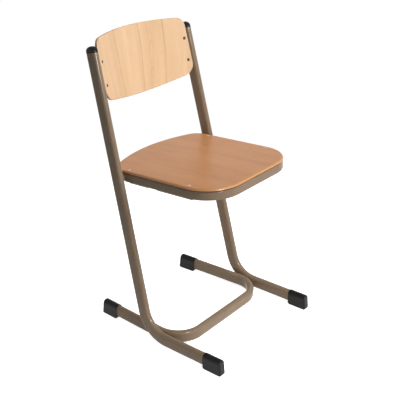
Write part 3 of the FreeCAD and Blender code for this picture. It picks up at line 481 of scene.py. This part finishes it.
def rivet_grid(sizes, grip):
    """Blind rivet turned about Z: dimpled dome, shank under it and closed end behind the grip.

    The dome's height at radius r is d * (1 - (r / R)^2) and the dimple lowers its middle.
    """
    dome = np.linspace(DIMPLE_RADIUS, 1.0, DOME_RINGS)[1:]
    head_radii = np.concatenate((DIMPLE_RADIUS * DIMPLE_RINGS, dome)) * sizes.rivet_head
    head_heights = sizes.rivet_dome * (1.0 - (head_radii / sizes.rivet_head) ** 2)
    head_heights[: len(DIMPLE_SUNK)] -= DIMPLE_DEPTH * sizes.rivet_dome * DIMPLE_SUNK
    tail = -grip - sizes.rivet_tail
    edge = TAIL_EDGE * sizes.rivet_tail
    body = (
        (sizes.rivet_shank, 0.0),
        (sizes.rivet_shank, -grip),
        (sizes.rivet_bulb, -grip),
        (sizes.rivet_bulb, tail + edge),
        (sizes.rivet_shank, tail),
        (0.0, tail),
    )
    body_radii, body_heights = np.array(body).T
    radii = np.concatenate((head_radii, body_radii))
    heights = np.concatenate((head_heights, body_heights))
    return turned_grid(radii, heights)


def seat_rivet_grids(sizes):
    """Rivets through the seat into its rail, two on each side."""
    rivet = rivet_grid(sizes, sizes.seat_thickness + sizes.rail_wall)
    grids = []
    for side in SIDES:
        for back in (sizes.seat_rivet_front, sizes.seat_rivet_rear):
            spot = Matrix.Translation((side * sizes.rail_half, back, 0.0))
            grids.append(moved(rivet, seat_frame(sizes) @ spot))
    return grids


def backrest_rivet_grids(sizes):
    """Rivets through the backrest into its lugs, two on each side, square to the hollow."""
    rivet = rivet_grid(sizes, sizes.backrest_thickness + sizes.lug_thickness + sizes.lug_gap)
    turn = rivet_turn(sizes)
    depth = sizes.backrest_hub + sizes.backrest_radius * math.cos(turn)
    forward = Matrix.Rotation(math.pi / 2, 4, "X")
    grids = []
    for side in SIDES:
        inward = Matrix.Rotation(-side * turn, 4, "Z") @ forward
        for height in (sizes.rivet_low, sizes.rivet_high):
            spot = Matrix.Translation((side * sizes.rivet_out, depth, height))
            grids.append(moved(rivet, lean_frame(sizes) @ spot @ inward))
    return grids


# Materials

# Range that most values of a noise lie in, and the whole range of a share, up and down.
USUAL = (0.3, 0.7)
RISING = (0.0, 1.0)
FALLING = (1.0, 0.0)


class Nodes:
    """Node tree: adds nodes, sets their sockets and joins them."""

    def __init__(self, tree):
        self.tree = tree

    def put(self, socket, value):
        """Join a socket to another node's output, or give it a plain value."""
        if isinstance(value, bpy.types.NodeSocket):
            self.tree.links.new(value, socket)
        else:
            socket.default_value = value

    def node(self, kind, *values, **settings):
        """New node with its first inputs in order; None leaves an input as it is."""
        made = self.tree.nodes.new(kind)
        for key, value in settings.items():
            setattr(made, key, value)
        for socket, value in zip(made.inputs, values):
            if value is not None:
                self.put(socket, value)
        return made

    def math(self, operation, *values):
        """Result of one operation on numbers."""
        return self.node("ShaderNodeMath", *values, operation=operation).outputs[0]

    def span(self, value, source, target, interpolation="LINEAR"):
        """Value carried from one range to another, kept inside it."""
        made = self.node("ShaderNodeMapRange", value, *source, *target)
        made.interpolation_type = interpolation
        return made.outputs[0]

    def split(self, vector):
        """X, Y and Z of a vector."""
        return tuple(self.node("ShaderNodeSeparateXYZ", vector).outputs)

    def joined(self, x, y, z):
        """Vector of three numbers."""
        return self.node("ShaderNodeCombineXYZ", x, y, z).outputs[0]

    def reach(self, vector):
        """Length of a vector."""
        return self.node("ShaderNodeVectorMath", vector, operation="LENGTH").outputs["Value"]


class Finish(Nodes):
    """Material of nodes that end in its principled shader."""

    def __init__(self, name):
        self.material = bpy.data.materials.new(name)
        self.material.use_nodes = True
        super().__init__(self.material.node_tree)
        self.shader = self.tree.nodes["Principled BSDF"]

    def shade(self, **sockets):
        """Set or join inputs of the principled shader, named with underscores for spaces."""
        for key, value in sockets.items():
            self.put(self.shader.inputs[key.replace("_", " ")], value)

    def place(self, matrix=None):
        """Object coordinates, or those of a frame of the chair."""
        coordinates = self.node("ShaderNodeTexCoord").outputs["Object"]
        if matrix is None:
            return coordinates
        inverse = matrix.inverted()
        turn = tuple(inverse.to_euler())
        shift = tuple(inverse.to_translation())
        return self.node("ShaderNodeMapping", coordinates, shift, turn).outputs[0]

    def scaled(self, coordinates, x, y, z):
        """Coordinates stretched along their own axes."""
        return self.node("ShaderNodeMapping", coordinates, None, None, (x, y, z)).outputs[0]

    def noise(self, coordinates, scale=1.0, detail=3.0, roughness=0.5, distortion=0.0):
        """Value noise from 0 to 1."""
        made = self.node("ShaderNodeTexNoise")
        for key, value in (
            ("Vector", coordinates),
            ("Scale", scale),
            ("Detail", detail),
            ("Roughness", roughness),
            ("Distortion", distortion),
        ):
            self.put(made.inputs[key], value)
        return made.outputs["Fac"]

    def ramp(self, factor, stops, interpolation="LINEAR"):
        """Colour ramp with stops of (position, colour)."""
        made = self.node("ShaderNodeValToRGB", factor)
        band = made.color_ramp
        band.interpolation = interpolation
        band.elements.remove(band.elements[1])
        for count, (position, tone) in enumerate(stops):
            element = band.elements.new(position) if count else band.elements[0]
            element.position = position
            element.color = (*tone, 1.0)
        return made.outputs["Color"]

    def mix(self, factor, first, second, blend="MIX"):
        """Two colours mixed."""
        made = self.node("ShaderNodeMix", data_type="RGBA", blend_type=blend)
        self.put(made.inputs["Factor"], factor)
        for key, value in (("A", first), ("B", second)):
            socket = next(item for item in made.inputs if item.name == key and item.type == "RGBA")
            if not isinstance(value, bpy.types.NodeSocket):
                value = (*value, 1.0)
            self.put(socket, value)
        return next(item for item in made.outputs if item.type == "RGBA")

    def bump(self, height, strength, distance):
        """Normal of a surface raised by a height."""
        made = self.node("ShaderNodeBump")
        for key, value in (("Strength", strength), ("Distance", distance), ("Height", height)):
            self.put(made.inputs[key], value)
        return made.outputs["Normal"]


def times(tone, ratio):
    """Colour made lighter or darker."""
    return tuple(min(1.0, value * ratio) for value in tone)


def paint_finish(tone):
    """Glossy taupe enamel: faint cloudiness, uneven gloss and the peel of a sprayed coat."""
    finish = Finish("frame_paint")
    place = finish.place()
    cloud = finish.noise(place, scale=14.0, detail=4.0)
    speck = finish.noise(place, scale=900.0, detail=2.0)
    peel = finish.noise(place, scale=420.0, detail=2.0)
    gloss = finish.noise(place, scale=60.0)
    base = finish.mix(finish.span(cloud, USUAL, RISING), times(tone, 0.94), times(tone, 1.05))
    base = finish.mix(finish.span(speck, (0.62, 0.75), (0.0, 0.18)), base, times(tone, 0.72))
    finish.shade(
        Base_Color=base,
        Roughness=finish.span(gloss, USUAL, (0.14, 0.20)),
        Specular_IOR_Level=0.15,
        Normal=finish.bump(peel, strength=0.05, distance=0.0006),
    )
    return finish.material


# Growth bands of beech per metre, across and along the grain.
BANDS_ACROSS = 30.0
BANDS_ALONG = 2.2

# Finer marks of beech: noise per metre across and along the grain, its detail, the range of it
# that shows, the share of the darker colour at its end and how much darker that is.
GRAIN_MARKS = {
    "streaks": (420.0, 9.0, 3.0, (0.40, 0.75), 0.45, 1.0),
    "pores": (1500.0, 45.0, 2.0, (0.55, 0.72), 0.40, 0.72),
    "flecks": (900.0, 210.0, 1.0, (0.66, 0.72), 0.45, 0.55),
}


def wood_grain(finish, grain, pale, dark, fine):
    """Beech: slow growth bands, streaks and pores along the grain and short darker ray flecks.

    The grain runs along Y of the coordinates, and fine sets how strong the finer marks are. The
    result is the colour and the height of the pores.
    """
    stretched = finish.scaled(grain, BANDS_ACROSS, BANDS_ALONG, BANDS_ACROSS)
    bands = finish.noise(stretched, detail=4.0, roughness=0.55, distortion=0.6)
    base = finish.mix(finish.span(bands, (0.32, 0.72), (0.0, 0.55)), pale, dark)
    marks = {}
    for name, (across, along, detail, shown, share, ratio) in GRAIN_MARKS.items():
        marks[name] = finish.noise(finish.scaled(grain, across, along, across), detail=detail)
        amount = finish.span(marks[name], shown, (0.0, share * fine))
        base = finish.mix(amount, base, times(dark, ratio))
    return base, marks["pores"]


def ply_edge(finish, share, plies, face, crossed, rim):
    """Colour of the edge: veneers with the grain, and darker ones across it, between the faces.

    The share is the depth under the upper or front face over the board's thickness.
    """
    stops = [(0.0, face)]
    for layer in range(1, plies - 1):
        stops.append((layer / plies, crossed if layer % 2 else rim))
    stops.append(((plies - 1) / plies, rim))
    return finish.ramp(share, stops, interpolation="CONSTANT")


# Seat's edge, in shares of its thickness under the upper face: where the veneers come in, where
# they end over the lower face, and where the painted shade at the foot of the edge begins, a dark
# band for the shadow in the gap over the rail. Then the strength of the veneers' colour under the
# stain and of the varnish that gathers there.
SEAT_EDGE_TOP = (0.02, 0.20)
SEAT_EDGE_FOOT = (0.93, 0.97)
SEAT_EDGE_PAINTED_SHADE = (0.62, 0.70)
SEAT_EDGE_COLOUR = 0.60
SEAT_EDGE_VARNISH = 0.3

# Pin knot in the seat: its place in the seat's frame and its half sizes.
KNOT_PLACE = (0.0915, 0.2355, 0.0)
KNOT_SIZE = (0.0026, 0.0095, 0.004)


def knot(finish, place, base, dark):
    """Small pin knot in the seat's face, drawn out along the grain."""
    local = finish.node(
        "ShaderNodeMapping", place, KNOT_PLACE, None, KNOT_SIZE, vector_type="TEXTURE"
    )
    away = finish.reach(local.outputs[0])
    return finish.mix(finish.span(away, (0.5, 1.2), (0.6, 0.0)), base, dark)


def seat_finish(sizes, colours, plies):
    """Orange-brown stained beech plywood under a glossy varnish, with painted shade along the foot
    of its edge.
    """
    finish = Finish("seat_wood")
    place = finish.place(seat_frame(sizes))
    base, pores = wood_grain(finish, place, colours.seat, colours.seat_dark, fine=0.55)
    height = finish.split(place)[2]
    share = finish.math("DIVIDE", height, -sizes.seat_thickness)
    crossed = tuple(0.5 * (a + b) for a, b in zip(colours.seat_dark, colours.veneer_dark))
    edge = ply_edge(finish, share, plies, colours.seat_rim, crossed, colours.seat_rim)
    over_foot = finish.span(share, SEAT_EDGE_FOOT, FALLING)
    on_edge = finish.math("MULTIPLY", finish.span(share, SEAT_EDGE_TOP, RISING), over_foot)
    base = finish.mix(on_edge, base, finish.mix(SEAT_EDGE_COLOUR, base, edge))
    # Painted shade: the foot of the edge darkened for the shadow in the gap over the rail.
    painted_gap_shade = finish.math("MULTIPLY", finish.span(share, SEAT_EDGE_PAINTED_SHADE, RISING), over_foot)
    base = finish.mix(painted_gap_shade, base, times(colours.seat_dark, 0.18))
    base = knot(finish, place, base, times(colours.seat_dark, 0.55))
    worn = finish.noise(place, scale=22.0, detail=4.0)
    finish.shade(
        Base_Color=base,
        Roughness=finish.span(worn, USUAL, (0.30, 0.40)),
        Specular_IOR_Level=0.20,
        Coat_Weight=finish.math("MULTIPLY", on_edge, SEAT_EDGE_VARNISH),
        Coat_Roughness=0.25,
        Normal=finish.bump(pores, strength=0.04, distance=0.0004),
    )
    return finish.material


# Arches in the backrest's grain: their middle across, steepness, squared reach, lines per metre
# and the squared distances between which they fade out.
ARCH_MIDDLE = 0.05
ARCH_STEEPNESS = 260.0
ARCH_REACH = 0.0009
ARCH_LINES = 60.0
ARCH_FADE = (0.0002, 0.0008)


def arched_grain(finish, across, rise, base, dark):
    """Nested arches in the middle leaves: lines of equal z + steepness * (x - middle)^2."""
    offset = finish.math("SUBTRACT", across, ARCH_MIDDLE)
    square = finish.math("MINIMUM", finish.math("MULTIPLY", offset, offset), ARCH_REACH)
    level = finish.math("ADD", rise, finish.math("MULTIPLY", square, ARCH_STEEPNESS))
    arches = finish.joined(finish.math("MULTIPLY", level, ARCH_LINES), across, 0.0)
    line = finish.span(finish.noise(arches, detail=2.0), (0.50, 0.64), (0.0, 0.45))
    inside = finish.span(square, ARCH_FADE, FALLING)
    return finish.mix(finish.math("MULTIPLY", line, inside), base, dark)


# Leaves of the backrest from the sitter's right: seams as (place across, depth of the line), the
# tone of each leaf, the seams' own darkness, and half the width that the leaves are laid over.
LEAF_SEAMS = ((-0.076, 0.75), (0.015, 1.0), (0.046, 0.40), (0.095, 0.90))
LEAF_TONES = (
    (0.92, 0.92, 0.95),
    (0.95, 0.94, 0.94),
    (0.94, 0.93, 0.92),
    (0.96, 0.95, 0.93),
    (1.0, 1.0, 1.0),
)
SEAM_DARK = np.array((0.20, 0.30, 0.40))
LEAF_HALF = 0.2

# Shading up to a seam, as (distance from it, share of its darkness), and where the next leaf
# begins. The distances are shares of the width that the leaves are laid over.
SEAM_SHADE = ((-0.036, 0.0), (-0.006, 0.25), (-0.002, 1.0), (0.001, 1.0))
NEXT_LEAF = 0.005


def veneer_leaves(finish, across, rise, base):
    """Leaves of veneer, each of its own tone, with a shaded side and a dark seam between them."""
    stops = []
    for count, (seam, depth) in enumerate(LEAF_SEAMS):
        place = (seam + LEAF_HALF) / (2.0 * LEAF_HALF)
        for offset, share in SEAM_SHADE:
            tone = np.array(LEAF_TONES[count]) * (1.0 - share * depth * SEAM_DARK)
            stops.append((place + offset, tone))
        stops.append((place + NEXT_LEAF, LEAF_TONES[count + 1]))
    leaves = finish.ramp(finish.span(across, (-LEAF_HALF, LEAF_HALF), RISING), stops)
    uneven = finish.noise(finish.joined(0.0, rise, across), scale=30.0)
    return finish.mix(finish.span(uneven, USUAL, (0.6, 1.0)), base, leaves, blend="MULTIPLY")


# Run of the backrest's grain: where its slant grows across the board and to how much, how it
# bows over the height, and how far it wanders.
SLANT_ACROSS = (-0.08, 0.02)
SLANT = (0.0, 0.13)
BOW = -4.8
WANDER = (-0.004, 0.004)

# Backrest's edge, in shares of its thickness behind the front: where the veneers begin and end.
BACKREST_EDGE_FRONT = (0.06, 0.10)
BACKREST_EDGE_REAR = (0.90, 0.94)


def backrest_finish(sizes, colours, plies):
    """Pale beech plywood in upright leaves, each a little different, under a satin varnish.

    The grain lies along lines of equal x - slant(x) * (z + bow * z^2), a little wandering, with z
    from the board's middle.
    """
    finish = Finish("backrest_wood")
    place = finish.place(lean_frame(sizes))
    x, y, z = finish.split(place)
    rise = finish.math("SUBTRACT", z, sizes.backrest_middle)
    bow = finish.math("MULTIPLY", finish.math("MULTIPLY", rise, rise), BOW)
    slant = finish.span(x, SLANT_ACROSS, SLANT)
    sway = finish.math("MULTIPLY", slant, finish.math("ADD", rise, bow))
    wander = finish.span(finish.noise(place, scale=9.0, detail=2.0), RISING, WANDER)
    across = finish.math("ADD", finish.math("SUBTRACT", x, sway), wander)
    grain = finish.joined(across, rise, y)
    base, pores = wood_grain(finish, grain, colours.backrest, colours.backrest_dark, fine=0.35)
    base = arched_grain(finish, across, rise, base, colours.backrest_dark)
    base = veneer_leaves(finish, across, rise, base)
    from_hub = finish.reach(finish.joined(x, finish.math("SUBTRACT", y, sizes.backrest_hub), 0.0))
    depth = finish.math("SUBTRACT", from_hub, sizes.backrest_radius)
    share = finish.math("DIVIDE", depth, sizes.backrest_thickness)
    edge = ply_edge(
        finish, share, plies, colours.backrest, colours.veneer_dark, colours.backrest_dark
    )
    behind_front = finish.span(share, BACKREST_EDGE_FRONT, RISING)
    before_rear = finish.span(share, BACKREST_EDGE_REAR, FALLING)
    base = finish.mix(finish.math("MULTIPLY", behind_front, before_rear), base, edge)
    worn = finish.noise(place, scale=25.0, detail=4.0)
    finish.shade(
        Base_Color=base,
        Roughness=finish.span(worn, USUAL, (0.46, 0.56)),
        Specular_IOR_Level=0.20,
        Normal=finish.bump(pores, strength=0.05, distance=0.0004),
    )
    return finish.material


def plastic_finish(name, tone, roughness):
    """Moulded plastic: fine grain of the mould and rubbed, slightly paler patches."""
    finish = Finish(name)
    place = finish.place()
    rubbed = finish.noise(place, scale=45.0, detail=4.0)
    grain = finish.noise(place, scale=2600.0, detail=2.0)
    finish.shade(
        Base_Color=finish.mix(finish.span(rubbed, (0.4, 0.8), RISING), tone, times(tone, 1.7)),
        Roughness=finish.span(rubbed, USUAL, roughness),
        Specular_IOR_Level=0.18,
        Normal=finish.bump(grain, strength=0.12, distance=0.0002),
    )
    return finish.material


def steel_finish(name, tone):
    """Rivet steel: fine turning marks, dull patches and painted shade on the broken stem down in
    the dimple.
    """
    finish = Finish(name)
    place = finish.place()
    marks = finish.noise(place, scale=1800.0, detail=2.0)
    dull = finish.noise(place, scale=300.0)
    base = finish.mix(finish.span(dull, (0.35, 0.75), (0.0, 0.5)), tone, times(tone, 0.72))
    # Painted shade: the stem down in the dimple darkened to a quarter of the steel's colour.
    dimple_shade = finish.node("ShaderNodeAttribute", attribute_name="shade_mask").outputs["Fac"]
    finish.shade(
        Base_Color=finish.mix(dimple_shade, base, times(tone, 0.25)),
        Metallic=1.0,
        Roughness=finish.span(dull, USUAL, (0.34, 0.50)),
        Normal=finish.bump(marks, strength=0.08, distance=0.0002),
    )
    return finish.material


def dress(names, material):
    """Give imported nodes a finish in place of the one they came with."""
    for name in names:
        mesh = NODES[name].data
        mesh.materials.clear()
        mesh.materials.append(material)


# Stage

WHITE = (1.0, 1.0, 1.0, 1.0)

# Width of the camera's sensor in mm.
SENSOR_WIDTH = 36.0

# Half the floor's side, and the distances from the chair between which its grey and glow change.
FLOOR_HALF = 40.0
GREY_FADE = (0.5, 1.3)
GLOW_FADE = (0.5, 1.6)

# Rise of a ray, as the Z of its direction, between which the backdrop turns to the ceiling.
CEILING_RISE = (0.30, 0.75)

# Lamps as (place, width, height). They point at the middle of the chair.
LAMP_TARGET = Vector((0.0, 0.0, 0.42))
KEY_LAMP = ((0.70, -1.75, 2.25), 2.0, 2.0)
FILL_LAMP = ((-0.75, -2.15, 0.55), 1.0, 0.8)
BACK_LAMP = ((-0.40, 2.50, 1.10), 1.4, 1.4)
STRIP_LAMP = ((-0.62, -1.73, 1.14), 0.25, 0.30)


def seen_ray(nodes):
    """1 for rays from the camera, off gloss and through glass, and 0 for the others."""
    path = nodes.node("ShaderNodeLightPath").outputs
    seen = nodes.math("MAXIMUM", path["Is Camera Ray"], path["Is Glossy Ray"])
    return nodes.math("MAXIMUM", seen, path["Is Transmission Ray"])


def add_floor(stage):
    """Flat pale floor that looks white, takes the chair's shadow and lights it from close by."""
    half = FLOOR_HALF
    corners = [(-half, -half, 0.0), (half, -half, 0.0), (half, half, 0.0), (-half, half, 0.0)]
    mesh = bpy.data.meshes.new("floor")
    mesh.from_pydata(corners, [], [(0, 1, 2, 3)])
    finish = Finish("floor")
    away = finish.reach(finish.place())
    glow = finish.span(away, GLOW_FADE, (stage.floor_glow, 1.0))
    finish.shade(
        Base_Color=finish.span(away, GREY_FADE, (stage.floor_tone, stage.floor_far)),
        Roughness=1.0,
        Specular_IOR_Level=0.0,
        Emission_Color=WHITE,
        Emission_Strength=finish.math("MULTIPLY", seen_ray(finish), glow),
    )
    mesh.materials.append(finish.material)
    floor = bpy.data.objects.new("floor", mesh)
    bpy.context.scene.collection.objects.link(floor)


def add_backdrop(scene, stage):
    """World that is white round the chair and dim overhead: seen as it is, and lighting softly."""
    world = bpy.data.worlds.new("studio")
    world.use_nodes = True
    nodes = Nodes(world.node_tree)
    direction = nodes.node("ShaderNodeTexCoord").outputs["Generated"]
    rise = nodes.split(direction)[2]
    tone = nodes.span(rise, CEILING_RISE, (1.0, stage.ceiling), interpolation="SMOOTHSTEP")
    strength = nodes.span(seen_ray(nodes), RISING, (stage.sky, 1.0))
    background = nodes.tree.nodes["Background"].inputs
    nodes.put(background["Color"], WHITE)
    nodes.put(background["Strength"], nodes.math("MULTIPLY", tone, strength))
    scene.world = world


def add_lamp(name, lamp, watts):
    """Soft rectangular lamp that points at the chair."""
    place, width, height = lamp
    light = bpy.data.lights.new(name, "AREA")
    light.shape = "RECTANGLE"
    light.size = width
    light.size_y = height
    light.energy = watts
    holder = bpy.data.objects.new(name, light)
    holder.location = place
    holder.rotation_euler = (LAMP_TARGET - Vector(place)).to_track_quat("-Z", "Y").to_euler()
    bpy.context.scene.collection.objects.link(holder)
    return holder


def add_camera(scene, stage):
    """Camera at the photograph's angle, distance and framing."""
    camera = bpy.data.cameras.new("camera")
    camera.lens = stage.lens
    camera.sensor_width = SENSOR_WIDTH
    camera.sensor_fit = "HORIZONTAL"
    camera.shift_x = stage.shift_x
    camera.shift_y = stage.shift_y
    flat = math.cos(stage.view_rise)
    back = Vector(
        (
            math.sin(stage.view_turn) * flat,
            -math.cos(stage.view_turn) * flat,
            math.sin(stage.view_rise),
        )
    )
    look = Vector((0.0, scene.chair.sizes.corner_back, stage.look_height))
    holder = bpy.data.objects.new("camera", camera)
    holder.location = look + back * stage.distance
    holder.rotation_euler = (-back).to_track_quat("-Z", "Y").to_euler()
    scene.collection.objects.link(holder)
    scene.camera = holder


# Operators


class CHAIR_OT_paint(bpy.types.Operator):
    """Paint the tubes, the rail and the lugs"""

    bl_idname = "chair.paint"
    bl_label = "Frame Paint"

    def execute(self, context):
        dress(PAINTED_NODES, paint_finish(context.scene.chair.colours.paint))
        return {"FINISHED"}


class CHAIR_OT_welds(bpy.types.Operator):
    """Lay the weld beads between the painted pieces"""

    bl_idname = "chair.welds"
    bl_label = "Weld Beads"

    def execute(self, context):
        sizes = context.scene.chair.sizes
        paint = NODES["right_side_tube"].data.materials[0]
        for name, grids in (
            ("runner_welds", runner_welds(sizes)),
            ("cross_tube_welds", cross_tube_welds(sizes)),
            ("seat_rail_welds", seat_rail_welds(sizes)),
            ("lug_welds", lug_welds(sizes)),
        ):
            grid_object(name, grids, paint)
        return {"FINISHED"}


class CHAIR_OT_seat(bpy.types.Operator):
    """Stain and varnish the seat"""

    bl_idname = "chair.seat"
    bl_label = "Seat Plywood"

    def execute(self, context):
        chair = context.scene.chair
        dress(("seat_board",), seat_finish(chair.sizes, chair.colours, chair.plies))
        return {"FINISHED"}


class CHAIR_OT_backrest(bpy.types.Operator):
    """Varnish the backrest"""

    bl_idname = "chair.backrest"
    bl_label = "Backrest Plywood"

    def execute(self, context):
        chair = context.scene.chair
        dress(("backrest_board",), backrest_finish(chair.sizes, chair.colours, chair.plies))
        return {"FINISHED"}


class CHAIR_OT_plastics(bpy.types.Operator):
    """Finish the feet, the tube plugs and the stacking pads"""

    bl_idname = "chair.plastics"
    bl_label = "Plastic Parts"

    def execute(self, context):
        colours = context.scene.chair.colours
        dress(BLACK_NODES, plastic_finish("black_plastic", colours.black, roughness=(0.34, 0.46)))
        dress(PAD_NODES, plastic_finish("pad_plastic", colours.pad, roughness=(0.50, 0.62)))
        return {"FINISHED"}


class CHAIR_OT_rivets(bpy.types.Operator):
    """Set the rivets of the seat and of the backrest"""

    bl_idname = "chair.rivets"
    bl_label = "Rivets"

    def execute(self, context):
        chair = context.scene.chair
        # Seat rivets: the rivet steel lightened as a painted highlight.
        highlit_steel = steel_finish("rivet_steel", chair.colours.rivet)
        # Backrest rivets: the same steel darkened as painted shade.
        shaded_steel = steel_finish("dark_rivet_steel", chair.colours.shaded_rivet)
        grids = seat_rivet_grids(chair.sizes)
        piece = grid_object("seat_rivet_heads", grids, highlit_steel, SHADED_STEM_RINGS)
        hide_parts("seat_rivets")
        grids = backrest_rivet_grids(chair.sizes)
        piece = grid_object("backrest_rivet_heads", grids, shaded_steel, SHADED_STEM_RINGS)
        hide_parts("backrest_rivets")
        return {"FINISHED"}


class CHAIR_OT_stage(bpy.types.Operator):
    """Set up the floor, the backdrop, the lamps and the camera"""

    bl_idname = "chair.stage"
    bl_label = "Stage"

    def execute(self, context):
        stage = context.scene.chair.stage
        context.scene.view_settings.view_transform = "Standard"
        add_floor(stage)
        add_backdrop(context.scene, stage)
        for lamp in (
            add_lamp("key_lamp", KEY_LAMP, stage.key),
            add_lamp("fill_lamp", FILL_LAMP, stage.fill),
            add_lamp("back_lamp", BACK_LAMP, stage.back),
        ):
            lamp.visible_glossy = False
        add_lamp("strip_lamp", STRIP_LAMP, stage.strip).visible_diffuse = False
        add_camera(context.scene, stage)
        return {"FINISHED"}


OPERATORS = (
    CHAIR_OT_paint,
    CHAIR_OT_welds,
    CHAIR_OT_seat,
    CHAIR_OT_backrest,
    CHAIR_OT_plastics,
    CHAIR_OT_rivets,
    CHAIR_OT_stage,
)


class CHAIR_PT_finish(bpy.types.Panel):
    """Steps and settings of the chair's finish"""

    bl_idname = "CHAIR_PT_finish"
    bl_label = "School Chair"
    bl_space_type = "VIEW_3D"
    bl_region_type = "UI"
    bl_category = "Chair"

    def draw(self, context):
        chair = context.scene.chair
        for operator in OPERATORS:
            self.layout.operator(operator.bl_idname)
        self.layout.prop(chair, "plies")
        for group in (chair.colours, chair.sizes, chair.stage):
            box = self.layout.box()
            for key in group.bl_rna.properties.keys():
                if key not in ("rna_type", "name"):
                    box.prop(group, key)


CLASSES = (ChairSizes, ChairColours, ChairStage, ChairSettings, *OPERATORS, CHAIR_PT_finish)


def register():
    """Add the classes and the scene's settings."""
    for item in CLASSES:
        bpy.utils.register_class(item)
    bpy.types.Scene.chair = PointerProperty(type=ChairSettings)


def unregister():
    """Take the settings and the classes away."""
    del bpy.types.Scene.chair
    for item in reversed(CLASSES):
        bpy.utils.unregister_class(item)


def main():
    """Build every finish in order."""
    register()
    bpy.ops.chair.paint()
    bpy.ops.chair.welds()
    bpy.ops.chair.seat()
    bpy.ops.chair.backrest()
    bpy.ops.chair.plastics()
    bpy.ops.chair.rivets()
    bpy.ops.chair.stage()


if __name__ == "__main__":
    main()
